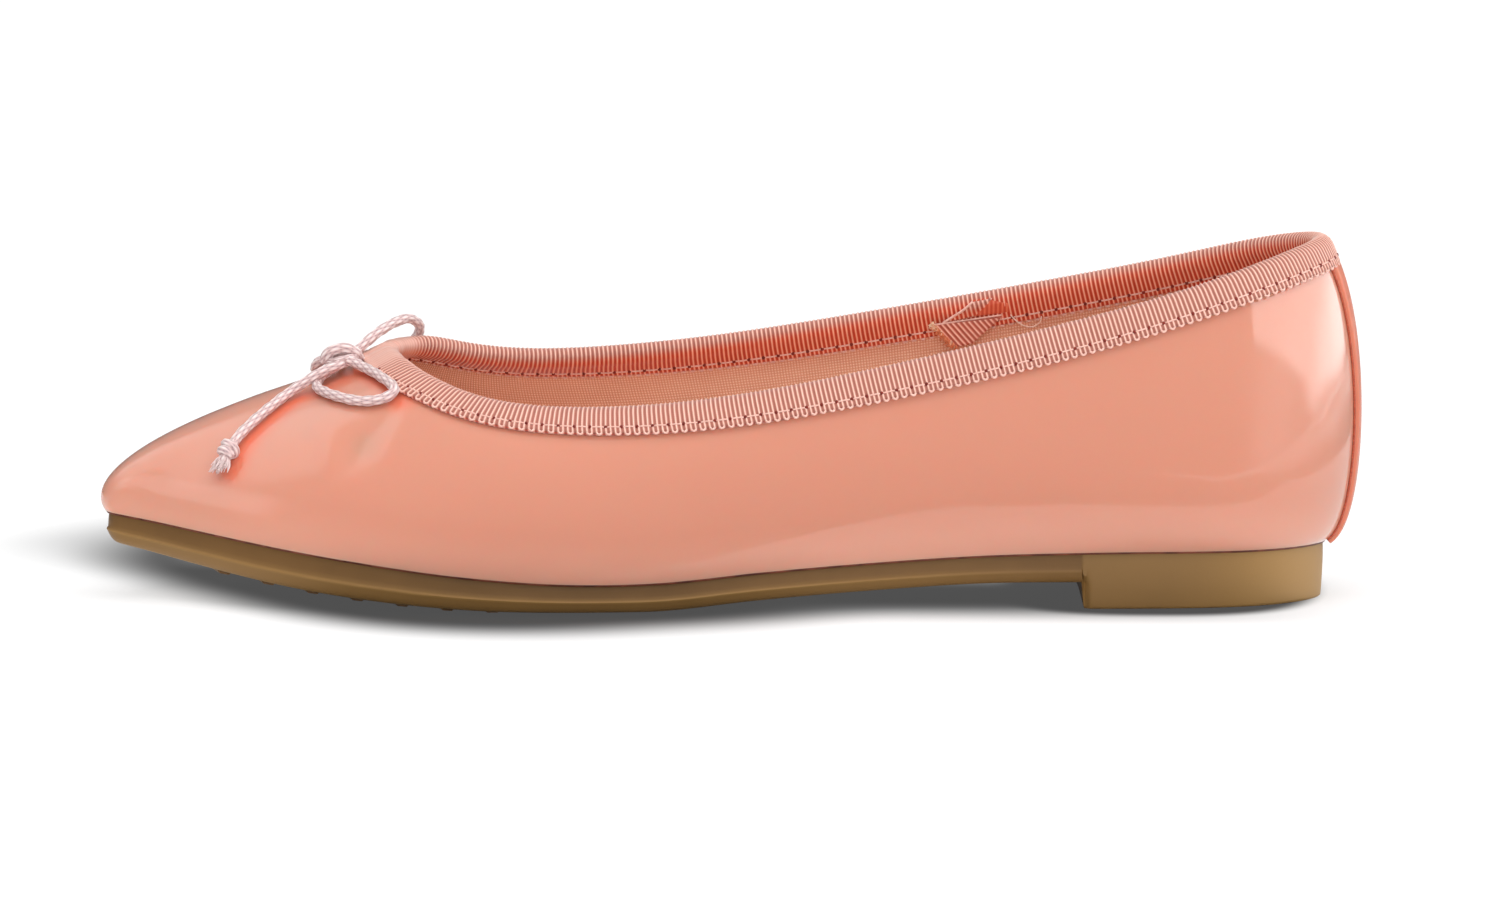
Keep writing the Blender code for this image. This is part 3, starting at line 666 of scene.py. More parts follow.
def upperSurface(station, share):
    # outside of the upper, from share 0 at the sole to 1 at the cut edge
    station, share = np.broadcast_arrays(np.asarray(station, float), np.asarray(share, float))
    foot = feather(station) + np.array([0, 0, last["gap"]])
    edge = toplineCurve(station)
    swell = swellCurve(station)
    fromFoot, fromEdge = outward(planCurve, station), outward(toplineCurve, station)
    up = np.array([0, 0, 1.0])
    handles = [
        foot,
        foot + swell[..., 0:1] * fromFoot + swell[..., 1:2] * up,
        (foot + edge) / 2 + swell[..., 2:3] * (fromFoot + fromEdge) / 2 + swell[..., 3:4] * up,
        edge + swell[..., 4:5] * fromEdge - swell[..., 5:6] * up,
        edge,
    ]
    t = share[..., None]
    return sum(math.comb(4, k) * t**k * (1 - t) ** (4 - k) * handle for k, handle in enumerate(handles))


def surfaceNormal(station, share):
    low, high = np.clip(share - 0.01, 0, 1), np.clip(share + 0.01, 0, 1)
    rise = upperSurface(station, high) - upperSurface(station, low)
    run = upperSurface(station + 0.02, share) - upperSurface(station - 0.02, share)
    normal = np.cross(run, rise)
    return normal / np.linalg.norm(normal, axis=-1)[..., None]


def wallPoints(stations, down, out):
    # points that far down the wall from the cut edge and that far out of it, one row for each station
    stations = np.asarray(stations, float)
    down, out = np.broadcast_arrays(np.asarray(down, float), np.asarray(out, float))
    down = np.broadcast_to(down, (len(stations), down.shape[-1]))
    out = np.broadcast_to(out, down.shape)
    shares = np.linspace(1, 0, 80)
    lines = upperSurface(stations[:, None], shares[None, :])
    falls = np.concatenate([np.zeros((len(stations), 1)),
                            np.cumsum(np.linalg.norm(np.diff(lines, axis=1), axis=2), axis=1)], axis=1)
    share = np.stack([np.interp(np.maximum(row, 0), fall, shares) for row, fall in zip(down, falls)])
    points = upperSurface(stations[:, None], share) + out[..., None] * surfaceNormal(stations[:, None], share)
    edge = upperSurface(stations, 1.0) - upperSurface(stations, 0.97)
    edge /= np.linalg.norm(edge, axis=-1)[:, None]
    return points + np.maximum(-down, 0)[..., None] * edge[:, None, :]


def spacedStations(curve, count):
    # stations that are evenly apart along a line on the upper
    fine = np.linspace(0, turn, 6001)
    points = curve(fine)
    run = np.concatenate([[0], np.cumsum(np.linalg.norm(np.diff(points, axis=0), axis=1))])
    return np.interp(np.linspace(0, run[-1], count + 1), run, fine), run[-1]


def smoothStep(value):
    value = np.clip(value, 0, 1)
    return value * value * (3 - 2 * value)


print("last")


# the patent upper and its lining

upper = {
    "columns": 460,
    "rows": 58,
    "skin": 1.2,
    # painted shadow of the cords, in coral: strongest share, how far it reaches, where it lies from the cord
    "paintedCordShade": 0.7,
    "paintedCordShadeReach": 2.7,
    "paintedCordShadeShift": (1.2, -1.2, -1.2),
    # soft troughs pressed into the vamp: x, y, radius along and across, depth
    "troughs": [
        (-75.5, -27.5, 4.0, 3.0, 0.85), (-70.5, -24.0, 3.0, 4.0, 0.4), (-88.0, -19.0, 3.5, 4.5, 0.35),
        (-76.0, 22.0, 5.0, 4.0, 0.4), (-90.0, 0.0, 4.0, 7.0, 0.2),
    ],
    # soft ridges beside them
    "ridges": [
        (-81.5, -27.0, 2.8, 4.0, 0.55), (-76.0, -32.5, 5.0, 2.2, 0.45), (-69.5, -28.5, 2.5, 3.0, 0.38),
        (-68.0, 24.0, 4.0, 4.0, 0.25),
    ],
}


def softForms(points):
    height = np.zeros(points.shape[:-1])
    for sign, forms in ((-1, upper["troughs"]), (1, upper["ridges"])):
        for x, y, spanX, spanY, depth in forms:
            away = ((points[..., 0] - x) / spanX) ** 2 + ((points[..., 1] - y) / spanY) ** 2
            height += sign * depth * np.exp(-away)
    return height


def makePatent(name, gloss, colour, low):
    # patent leather: dyed split under a thick clear polyurethane film, so a soft-coloured body
    # with sharp reflections, broken a little by the unevenness of the leather below
    material, tree, shader = newMaterial(
        name, Roughness=0.5, Coat_Weight=gloss, Coat_Roughness=0.05, Coat_IOR=1.5)
    crown = addNode(tree, "ShaderNodeAttribute", attribute_name="crown")
    paintedCordShade = addNode(tree, "ShaderNodeAttribute", attribute_name="paintedCordShade")
    # a Mix node's colours are its inputs 6 and 7, and its mixed colour is output 2
    # painted light: the crown attribute blends in the paler colour low on the side
    dyeWithPaintedLift = addNode(tree, "ShaderNodeMix", {
        0: crown.outputs["Fac"], 6: linearColour(colour), 7: linearColour(low)}, data_type="RGBA")
    # painted shadow: the second attribute blends in coral where the bow's cords shade the film
    paintedGlow = addNode(tree, "ShaderNodeMix", {
        0: paintedCordShade.outputs["Fac"], 6: dyeWithPaintedLift.outputs[2], 7: linearColour("#EE5F38")}, data_type="RGBA")
    tree.links.new(paintedGlow.outputs[2], shader.inputs["Base Color"])
    shader.inputs["Specular IOR Level"].default_value = 0.2
    # red light spreads further under the film, so that shade on it turns coral instead of grey
    shader.inputs["Subsurface Weight"].default_value = 0.45
    shader.inputs["Subsurface Radius"].default_value = (1.0, 0.25, 0.15)
    shader.inputs["Subsurface Scale"].default_value = 0.0035
    place = addNode(tree, "ShaderNodeTexCoord")
    # leather stretched on a last is uneven by a few hundredths of a millimetre over 15 mm or so
    waves = addNode(
        tree, "ShaderNodeTexNoise", {"Vector": place.outputs["Object"], "Scale": 70.0, "Detail": 1.0})
    soft = addNode(
        tree, "ShaderNodeBump", {"Height": waves.outputs["Fac"], "Strength": 0.3, "Distance": 0.0008})
    # orange peel of the film, about 1 mm apart
    peel = addNode(
        tree, "ShaderNodeTexNoise", {"Vector": place.outputs["Object"], "Scale": 900.0, "Detail": 0.0})
    fine = addNode(tree, "ShaderNodeBump", {
        "Height": peel.outputs["Fac"], "Strength": 0.05, "Distance": 0.00003,
        "Normal": soft.outputs["Normal"]})
    tree.links.new(fine.outputs["Normal"], shader.inputs["Coat Normal"])
    tree.links.new(soft.outputs["Normal"], shader.inputs["Normal"])
    return material


def makeCanvas():
    # cotton drill lining, plain weave; threads 0.6 mm apart, a little coarser than real ones to show
    material, tree, shader = newMaterial("cotton lining", Roughness=0.85, Sheen_Weight=0.25)
    layout = addNode(tree, "ShaderNodeUVMap")
    heights = []
    for axis in ("X", "Y"):
        wave = addNode(tree, "ShaderNodeTexWave", {
            "Vector": layout.outputs["UV"], "Scale": 0.524, "Distortion": 0.6, "Detail": 1.0,
            "Detail Scale": 0.6}, bands_direction=axis)
        heights.append(wave.outputs["Fac"])
    weave = addNode(tree, "ShaderNodeMath", {0: heights[0], 1: heights[1]}, operation="MULTIPLY")
    tint = addNode(tree, "ShaderNodeValToRGB", {"Fac": weave.outputs["Value"]}, [
        (0.0, "#E8A486"), (0.5, "#FDC8A6"), (1.0, "#FFE0C6")])
    tree.links.new(tint.outputs["Color"], shader.inputs["Base Color"])
    bump = addNode(
        tree, "ShaderNodeBump", {"Height": weave.outputs["Value"], "Strength": 0.7, "Distance": 0.0002})
    tree.links.new(bump.outputs["Normal"], shader.inputs["Normal"])
    return material


# painted light: the film is painted a little paler low on the side, towards the sole, to lift the shade there
patentLeather = makePatent("patent leather", 1.0, "#D68E76", "#E8A28B")
# the back strip's copy of the patent has a thin coat and a deeper coral; the deeper coral is painted shade
stripPatentShaded = makePatent("strip patent with painted shade", 0.15, "#D87C62", "#D87C62")
liningCanvas = makeCanvas()


def makeUpper():
    stations = spacedStations(lambda s: upperSurface(s, 0.45), upper["columns"])[0]
    face = np.linspace(0, 1, upper["rows"])
    back = np.linspace(1, 0, 12)
    outer = upperSurface(stations[:, None], face[None, :])
    normals = surfaceNormal(stations[:, None], face[None, :])
    outer = outer + normals * (softForms(outer) * smoothStep((1 - face) * 6)[None, :])[..., None]
    inner = upperSurface(stations[:, None], back[None, :])
    inner = inner - upper["skin"] * surfaceNormal(stations[:, None], back[None, :])
    points = np.concatenate([outer, inner, outer[:, :1]], axis=1)
    # painted light: the outside is paler towards the sole
    paintedPale = np.concatenate([1 - smoothStep(face / 0.3), np.zeros(len(back)), [1.0]])
    # painted shadow: the film is painted coral where the bow's cords shade it
    cords = np.concatenate([smoothPath(route, 1.5) for route in (bow["outerLoop"][13:], bow["outerTail"])])
    shaded = cords + np.array(upper["paintedCordShadeShift"])
    away = np.min([np.linalg.norm(points - spot, axis=-1) for spot in shaded], axis=0)
    paintedCordShade = upper["paintedCordShade"] * np.exp(-(away / upper["paintedCordShadeReach"]) ** 2)
    bm = bmesh.new()
    gridInto(bm, points, crown=np.broadcast_to(paintedPale, points.shape[:2]), paintedCordShade=paintedCordShade)
    piece = finishPiece(bm, "patentUpper", patentLeather, sharp=50)
    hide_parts("upper")


def makeLining():
    stations, length = spacedStations(lambda s: upperSurface(s, 0.7), 300)
    shares = np.linspace(0.05, 0.985, 40)
    base = upperSurface(stations[:, None], shares[None, :])
    normals = surfaceNormal(stations[:, None], shares[None, :])
    front, back = base - last["wall"] * normals, (base - (upper["skin"] + 0.05) * normals)[:, ::-1]
    points = np.concatenate([front, back[:, ::4], front[:, :1]], axis=1)
    fall = np.concatenate([shares * 45, 45 + np.linspace(1, 46, points.shape[1] - len(shares))])
    run = np.linspace(0, length, len(stations))
    uvs = np.stack(np.broadcast_arrays(run[:, None], fall[None, :]), axis=-1)
    bm = bmesh.new()
    gridInto(bm, points, uvs)
    finishPiece(bm, "canvasLining", liningCanvas, sharp=60)


def makeFeatherLine():
    # painted shade: a dark reddish-brown thread along the joint above the sole, standing in for the shade of
    # the narrow gap there
    material, tree, shader = newMaterial("painted gap shade", Roughness=0.6)
    place = addNode(tree, "ShaderNodeTexCoord")
    cloud = addNode(tree, "ShaderNodeTexNoise", {"Vector": place.outputs["Object"], "Scale": 300.0})
    tint = addNode(tree, "ShaderNodeValToRGB", {"Fac": cloud.outputs["Fac"]}, [
        (0.35, "#5A2A1C"), (0.65, "#8A4630")])
    tree.links.new(tint.outputs["Color"], shader.inputs["Base Color"])
    stations = spacedStations(feather, 420)[0]
    angles = np.linspace(0, 2 * math.pi, 7)
    middle = feather(stations, np.full(len(stations), 0.62)) + np.array([0, 0, 0.15])
    out = outward(planCurve, stations)
    ring = middle[:, None] + 0.42 * np.cos(angles)[None, :, None] * out[:, None]
    ring[..., 2] += 0.3 * np.sin(angles)
    bm = bmesh.new()
    gridInto(bm, ring)
    finishPiece(bm, "featherLine", material)


makeUpper()
makeLining()
makeFeatherLine()
print("upper")


# the grosgrain binding, folded over the cut edge

binding = {
    "ribPitch": 0.93,
    "ribHeight": 0.2,
    "columnsPerRib": 6,
    "thickness": 0.65,
    # distance down the wall to the loops' edge, section by section from the throat to the back
    "dropOutside": [6.4, 6.6, 7.3, 7.5, 7.8, 7.1, 6.8, 6.8, 6.5, 6.2, 5.8],
    "dropInside": [5.4, 5.4, 5.6, 6.2, 6.5, 6.8, 6.8, 6.7, 6.5, 6.4, 6.2],
    "picot": 1.75,          # from the row of stitches to the edge of the loops
    "stitchPitch": 3.08,
    # no loops or stitches show this near the throat, where the ribbon is gathered
    "plainOutside": 12.8,
    "plainInside": 8.5,
}
outsideDrop = closedSpline([(d,) for d in binding["dropOutside"] + binding["dropOutside"][-2:0:-1]])
insideDrop = closedSpline([(d,) for d in binding["dropInside"] + binding["dropInside"][-2:0:-1]])
ribCount = 2 * round(spacedStations(toplineCurve, 10)[1] / binding["ribPitch"] / 2)
outerFace = 0.4 + binding["thickness"]
innerFace = -last["wall"] - outerFace


def makeGrosgrain():
    # polyester grosgrain: thick weft ribs wrapped by fine warp; light crowns, with painted shade in dusky
    # pink between them
    material, tree, shader = newMaterial(
        "grosgrain ribbon", Roughness=0.55, Sheen_Weight=0.4, Sheen_Roughness=0.35)
    crown = addNode(tree, "ShaderNodeAttribute", attribute_name="crown")
    outside = addNode(tree, "ShaderNodeValToRGB", {"Fac": crown.outputs["Fac"]}, [
        (0.0, "#A05C4D"), (0.25, "#B67463"), (0.6, "#D08E7D"), (1.0, "#FFD8C8")])
    inside = addNode(tree, "ShaderNodeValToRGB", {"Fac": crown.outputs["Fac"]}, [
        (0.0, "#C03A1E"), (0.3, "#D65636"), (0.65, "#EC8460"), (1.0, "#FFD0B8")])
    # painted shade: the inner half of the ribbon, past the fold, is painted a deeper orange-red, for the
    # shade and the shoe's coloured light inside
    layout = addNode(tree, "ShaderNodeUVMap")
    split = addNode(tree, "ShaderNodeSeparateXYZ", {"Vector": layout.outputs["UV"]})
    fold = addNode(tree, "ShaderNodeMapRange", {
        "Value": split.outputs["Y"], "From Min": 0.5, "From Max": 3.5}, interpolation_type="SMOOTHSTEP")
    tint = addNode(tree, "ShaderNodeMix", {
        0: fold.outputs["Result"], 6: outside.outputs["Color"], 7: inside.outputs["Color"]}, data_type="RGBA")
    tree.links.new(tint.outputs[2], shader.inputs["Base Color"])
    # warp threads about 0.25 mm apart across the ribs
    warp = addNode(tree, "ShaderNodeTexWave", {
        "Vector": layout.outputs["UV"], "Scale": 1.26, "Distortion": 1.5, "Detail": 2.0}, bands_direction="Y")
    bump = addNode(
        tree, "ShaderNodeBump", {"Height": warp.outputs["Fac"], "Strength": 0.4, "Distance": 0.00006})
    tree.links.new(bump.outputs["Normal"], shader.inputs["Normal"])
    return material


def makeThread(name, colours, sheen=0.1):
    # spun polyester sewing thread, 0.3 mm
    material, tree, shader = newMaterial(name, Roughness=0.5, Sheen_Weight=sheen)
    place = addNode(tree, "ShaderNodeTexCoord")
    ply = addNode(tree, "ShaderNodeTexNoise", {"Vector": place.outputs["Object"], "Scale": 2500.0})
    tint = addNode(tree, "ShaderNodeValToRGB", {"Fac": ply.outputs["Fac"]}, [
        (0.3, colours[0]), (0.7, colours[1])])
    tree.links.new(tint.outputs["Color"], shader.inputs["Base Color"])
    return material


grosgrain = makeGrosgrain()
sewingThread = makeThread("sewing thread", ("#E9B0A0", "#F8CDBF"))
# painted shade: dark red for the needle holes
needleHole = makeThread("needle hole", ("#64140C", "#8C2818"), 0.0)


def ribbonSection(stations):
    # down and out across the ribbon, from its outer lower edge over the fold to its inner one
    outDrop, inDrop = outsideDrop(stations)[:, 0], insideDrop(stations)[:, 0]
    # what the distance down is measured from, that distance, and the distance out
    edge = np.zeros(len(stations))
    shape = [
        (outDrop, -0.55, outerFace - 0.35), (outDrop, -0.6, outerFace - 0.05),
        (outDrop, -1.1, outerFace), (outDrop, -1.7, outerFace + 0.02), (outDrop, -2.1, outerFace - 0.06),
        (outDrop, -2.5, outerFace + 0.08),
        (edge, 2.0, outerFace + 0.2), (edge, 1.2, outerFace + 0.28), (edge, 0.4, outerFace + 0.22),
        (edge, -0.4, outerFace - 0.08), (edge, -1.05, outerFace - 0.65), (edge, -1.42, -0.2),
        (edge, -1.5, -0.75), (edge, -1.42, -1.3), (edge, -1.05, innerFace + 0.65),
        (edge, -0.4, innerFace + 0.08), (edge, 0.4, innerFace - 0.22), (edge, 1.2, innerFace - 0.28),
        (edge, 2.2, innerFace - 0.2), (inDrop, -2.5, innerFace - 0.08), (inDrop, -2.1, innerFace + 0.06),
        (inDrop, -1.7, innerFace - 0.02), (inDrop, -1.1, innerFace), (inDrop, -0.6, innerFace + 0.05),
        (inDrop, -0.55, innerFace + 0.35),
    ]
    down = np.stack([start + below for start, below, out in shape], axis=1)
    return down, np.array([out for start, below, out in shape])


def wallLines(stations, down, out):
    # lines over the wall, one row each, that run square to the cut edge as the ribbon's ribs do
    stations, down, out = [np.array(each, float) for each in np.broadcast_arrays(stations, down, out)]
    ahead = toplineCurve(stations + 0.01) - toplineCurve(stations - 0.01)
    speed = np.linalg.norm(ahead, axis=-1) / 0.02
    fall = upperSurface(stations, 0.96) - upperSurface(stations, 1.0)
    fall /= np.linalg.norm(fall, axis=-1)[..., None]
    slant = (fall * ahead).sum(axis=-1) / (0.02 * speed)
    stations = stations - slant / speed * down
    columns = [wallPoints(stations[:, k], down[:, k:k + 1], out[:, k:k + 1])[:, 0]
               for k in range(down.shape[1])]
    return np.stack(columns, axis=1)


def makeBinding():
    perRib = binding["columnsPerRib"]
    stations, length = spacedStations(toplineCurve, ribCount * perRib)
    down, out = ribbonSection(stations)
    # ribs fade into a gathered fold at the throat, where the drawstring comes out
    run = np.linspace(0, length, len(stations))
    fromThroat = np.minimum(run, length - run)
    strength = 0.08 + 0.92 * smoothStep((fromThroat - 9.5) / 5.0)
    rib = np.abs(np.sin(np.pi * np.arange(len(stations)) / perRib)) ** 3.2
    gathers = 0.16 * np.sin(run * 1.9) * np.exp(-(fromThroat / 5.0) ** 2)
    relief = binding["ribHeight"] * rib * strength + gathers
    middle = -0.75
    direction = np.sign(out - middle)
    direction[len(out) // 2] = 0
    raised = out[None, :] + relief[:, None] * direction[None, :]
    lifted = down - relief[:, None] * (np.abs(out - middle) < 1.2)[None, :] * 0.9
    face = wallLines(stations[:, None], lifted, raised)
    hidden = np.stack([down[:, -1] - 0.05, np.full(len(stations), 0.3), np.full(len(stations), 0.3),
                       down[:, 0] - 0.05], axis=1)
    under = wallLines(stations[:, None], hidden, np.array([-1.6, -1.6, 0.1, 0.1]))
    points = np.concatenate([face, under, face[:, :1]], axis=1)
    crown = np.broadcast_to((rib * strength + 0.75 * (1 - strength))[:, None], points.shape[:2])
    across = np.concatenate([[0], np.cumsum(np.abs(np.diff(down[len(down) // 2])) + np.abs(np.diff(out)))])
    across -= across[len(out) // 2]    # 0 at the fold, and growing down the inside
    across = np.concatenate([across, across[-1] + np.arange(1, 6)])
    uvs = np.stack(np.broadcast_arrays(run[:, None], across[None, :]), axis=-1)
    bm = bmesh.new()
    gridInto(bm, points, uvs, crown)
    piece = finishPiece(bm, "grosgrainBinding", grosgrain)
    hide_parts("topline_binding")


def throatRun():
    # stations round the shoe, and how far along the cut edge each lies
    fine = np.linspace(0, turn, 2001)
    points = toplineCurve(fine)
    return fine, np.concatenate([[0], np.cumsum(np.linalg.norm(np.diff(points, axis=0), axis=1))])


def makePicots():
    # below the stitches the weft shows as a row of loops, one for each pair of ribs
    ribs, length = spacedStations(toplineCurve, 2 * ribCount)
    left, right = ribs[1:-2:4, None], ribs[3::4, None]
    bend = np.radians([0, 30, 60, 90, 120, 150, 180])
    across = np.concatenate([[-1], -np.cos(bend), [1]])
    stations = (left + right) / 2 + (right - left) / 2 * across
    marks = np.interp(stations[:, 0], *throatRun())
    fromThroat = np.minimum(marks, length - marks)
    fall = np.concatenate([[-binding["picot"]], -0.75 + 0.53 * np.sin(bend), [-binding["picot"]]])
    for name, drop, face, clear in (
        ("picotLoopsOutside", outsideDrop, outerFace - 0.12, binding["plainOutside"]),
        ("picotLoopsInside", insideDrop, innerFace + 0.12, binding["plainInside"]),
    ):
        shown = stations[fromThroat > clear]
        bm = bmesh.new()
        for line in wallLines(shown, drop(shown[:, :1])[..., 0] + fall, face):
            tubeInto(bm, line, 0.25, around=5)
        finishPiece(bm, name, sewingThread)


def makeStitches():
    length = spacedStations(toplineCurve, 10)[1]
    allEnds, length = spacedStations(toplineCurve, round(length / binding["stitchPitch"]))
    share = np.array([0.06, 0.14, 0.35, 0.62, 0.86, 0.94])
    lift = np.array([-0.25, 0.06, 0.14, 0.14, 0.06, -0.25])
    for name, drop, face, sign, clear in (
        ("stitchesOutside", outsideDrop, outerFace + 0.02, 1, binding["plainOutside"]),
        ("stitchesInside", insideDrop, innerFace - 0.02, -1, binding["plainInside"]),
    ):
        skipped = round(clear / binding["stitchPitch"])
        ends = allEnds[skipped:-skipped]
        stations = ends[:-1, None] + np.diff(ends)[:, None] * share
        threads, holes = bmesh.new(), bmesh.new()
        level = drop(stations)[..., 0] - binding["picot"] - 0.2
        for line in wallLines(stations, level, face + sign * lift):
            tubeInto(threads, line, 0.17, around=5)
        # painted shade: a dark dot at each needle hole stands in for the shade in the hole
        spots = wallLines(ends[:-1, None], drop(ends[:-1]) - binding["picot"] - 0.2, face)[:, 0]
        for spot in spots:
            dot = bmesh.ops.create_uvsphere(holes, u_segments=6, v_segments=4, radius=0.42 * mm)["verts"]
            bmesh.ops.translate(holes, verts=dot, vec=Vector(spot) * mm)
        finishPiece(threads, name, sewingThread)
        finishPiece(holes, name.replace("stitches", "needleHoles"), needleHole)


# where the ribbon's two ends meet on the inner side of the foot

join = {
    # corners as stations and distance down the wall: the loose end's upper and lower corners
    "flap": ((13.56, 2.7), (13.09, 3.9), (13.44, 9.1), (13.33, 8.8)),
    # the upper layer's slanting edge from the stitches to the top, then its far side
    "overlap": ((13.50, 2.7), (13.27, -0.95), (13.27, 2.6), (13.13, -0.9)),
    # then a smooth pulled piece up to where the ribs run evenly again
    "pulled": ((13.28, 2.5), (13.15, -0.7), (13.04, 3.2), (13.01, 1.2)),
    "threadLoop": ((13.03, 3.9), (13.01, 5.0), (12.97, 6.6), (12.91, 7.5), (12.85, 6.9), (12.83, 5.6)),
}


def makeJoin():
    pitch = binding["ribPitch"]

    def ribbonInto(bm, corners, rows, columns, lift, angle, bulge, ribbed=1.0, insideShadeDepth=None):
        # a ribbed sheet between four corners; its ribs lie at that angle, and the last argument is how deep
        # inside the shoe its colour is taken from, which sets how much of the ribbon's painted inside shade
        # it gets
        a, b, c, d = np.array(corners, float)
        u, v = np.meshgrid(np.linspace(0, 1, columns), np.linspace(0, 1, rows), indexing="ij")
        u, v = u[..., None], v[..., None]
        spots = (a * (1 - u) + b * u) * (1 - v) + (c * (1 - u) + d * u) * v
        station, down = spots[..., 0], spots[..., 1]
        low = np.interp(down, [-1.75, -1.3, -0.5, 0.4, 2.2, 12.0], [-1.1, -2.1, -2.75, -3.05, -3.05, -2.9])
        base = wallLines(station, down, low)
        phase = (base[..., 0] * math.cos(angle) + base[..., 2] * math.sin(angle)) / pitch
        rib = np.abs(np.sin(np.pi * phase)) ** 2.4 * ribbed
        edge = np.minimum.reduce([u[..., 0] * 12, (1 - u[..., 0]) * 12, v[..., 0] * 10, (1 - v[..., 0]) * 10])
        stand = lift * np.clip(edge + 0.35, 0, 1) ** 0.5 + bulge(u[..., 0], v[..., 0]) + 0.16 * rib
        top = wallLines(station, down, low - stand)
        under = wallLines(station, down, low - stand + lift + 0.3)
        deep = 1.15 * (down + 1.5) if insideShadeDepth is None else np.full(phase.shape, insideShadeDepth)
        uvs = np.stack([phase * pitch, deep], axis=-1)
        gridInto(bm, top, uvs, rib + 0.25 * (1 - ribbed))
        gridInto(bm, under[::-1], uvs, 0.3 * rib)

    left, right, lowLeft = join["flap"][:3]
    bm = bmesh.new()
    ribbonInto(bm, join["flap"], 34, 96, 0.35,
               math.radians(41), lambda u, v: 0.25 + 0.9 * v + 0.3 * np.sin(np.pi * u) * (1 - v), insideShadeDepth=1.9)
    seamStart, seamEnd = join["overlap"][:2]
    ribbonInto(bm, join["overlap"], 90, 44, 0.4,
               math.radians(15), lambda u, v: 0.12 - 0.3 * smoothStep((v - 0.5) / 0.5))
    ribbonInto(bm, join["pulled"], 40, 30, 0.3,
               0.0, lambda u, v: 0.05 - 0.5 * v**2 - 0.2 * u**2, ribbed=0.45, insideShadeDepth=3.2)
    finishPiece(bm, "ribbonJoin", grosgrain, weld=0.001, outward=False)
    # a selvedge runs up the slanting edge, and the seam's thread lies over the loose end
    bm = bmesh.new()
    for first, finish, radius, out in (
        (seamStart, seamEnd, 0.26, -3.55),
        (left, (right[0], right[1] - 0.7), 0.17, -3.75),
    ):
        share = np.linspace(0, 1, 12)
        station, down = [first[k] + (finish[k] - first[k]) * share for k in (0, 1)]
        level = np.interp(down, [-1.3, -0.5, 0.4, 12.0], [out + 1.1, out + 0.35, out, out])
        tubeInto(bm, smoothPath(wallLines(station[None], down[None], level[None])[0], 0.4), radius, around=6)
    finishPiece(bm, "joinSeam", sewingThread)
    # the cut end frays: pale yarns in a tuft at its corner, orange ones all along it, whose deeper orange is
    # painted shade under the edge
    rng = np.random.default_rng(11)
    for name, count, colours in (
        ("frayedEnd", 46, ("#E9B48E", "#FBDDBE")),
        ("frayedEdge", 90, ("#CF6238", "#EE9A6C")),
    ):
        bm = bmesh.new()
        for index in range(count):
            tuft = name == "frayedEnd" and index > 16
            share = rng.uniform(-0.12, 0.14) if tuft else rng.uniform(0, 1)
            station = left[0] + (lowLeft[0] - left[0]) * share + rng.uniform(-0.004, 0.004)
            down = left[1] + (lowLeft[1] - left[1]) * share + rng.uniform(-0.3, 0.3)
            reach = rng.uniform(0.5, 1.2) * (1.5 if tuft or name == "frayedEdge" else 1.0)
            ends = wallLines(
                np.array([[station - 0.004, station + 0.008 * reach * rng.uniform(0.4, 1.6),
                           station + 0.016 * reach * rng.uniform(0.2, 1.6)]]),
                np.array([[down, down + 0.4 * reach, down + reach * rng.uniform(0.1, 0.9)]]),
                np.array([[-3.5 - 0.8 * share, -3.75 - 0.8 * share,
                           -3.6 - rng.uniform(0, 0.7) - 0.6 * share]]))[0]
            tubeInto(bm, smoothPath(ends, 0.3), 0.13, around=5)
        finishPiece(bm, name, makeThread(name, colours))
    loop = np.array(join["threadLoop"])
    bm = bmesh.new()
    route = wallLines(loop[None, :, 0], loop[None, :, 1], np.array([[-2.9, -3.2, -3.4, -3.4, -3.2, -2.8]]))[0]
    tubeInto(bm, smoothPath(route, 0.3), 0.13, around=6)
    finishPiece(bm, "looseThread", makeThread("loose thread", ("#EBC2AE", "#FFE6D8")))


makeBinding()
makePicots()
makeStitches()
makeJoin()
print("binding")


# the strip up the back seam

backStrip = {
    "halfWidth": 5.9, "thickness": 0.85, "edge": 0.75,
    "top": 0.925,    # share of the wall's height where the strip goes under the ribbon
    # radius of the painted groove shade along the strip's edges
    "seam": 0.27,
}


def makeBackStrip():
    # the strip's two sides are read as stations at each height
    shares = np.linspace(0.02, backStrip["top"], 60)
    across = np.linspace(-1, 1, 41)
    span = np.linspace(sections - 1.2, sections + 1.2, 97)
    outer = []
    for share in shares:
        sides = upperSurface(span, np.full(len(span), share))[:, 1]
        outer.append(np.interp(across * backStrip["halfWidth"], sides, span))
    stations = np.array(outer)
    grid = np.broadcast_to(shares[:, None], stations.shape)
    base, normals = upperSurface(stations, grid), surfaceNormal(stations, grid)
    fromEdge = (1 - np.abs(across)) * backStrip["halfWidth"]
    rounding = np.sqrt(1 - (1 - np.clip(fromEdge / backStrip["edge"], 0, 1)) ** 2)
    front = base + normals * (0.25 + backStrip["thickness"] * rounding)[None, :, None]
    under = (base + normals * 0.02)[:, ::-1]
    points = np.concatenate([front, under[:, ::5], front[:, :1]], axis=1)
    bm = bmesh.new()
    gridInto(bm, points)
    bmesh.ops.remove_doubles(bm, verts=bm.verts, dist=0.00001)
    bmesh.ops.holes_fill(bm, edges=[edge for edge in bm.edges if edge.is_boundary], sides=0)
    piece = finishPiece(bm, "backStrip", stripPatentShaded, sharp=50)
    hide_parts("back_strip")
    # painted shade: a darker orange thread along each of the strip's edges stands in for the shade in the
    # groove there
    bm = bmesh.new()
    for side in (0, -1):
        tubeInto(bm, smoothPath((base + normals * 0.2)[:, side], 0.6), backStrip["seam"], around=6)
    finishPiece(bm, "stripGrooveShade", makeThread("strip seam", ("#9C3A20", "#C65836")))


makeBackStrip()
print("back strip")


# the moulded unit sole

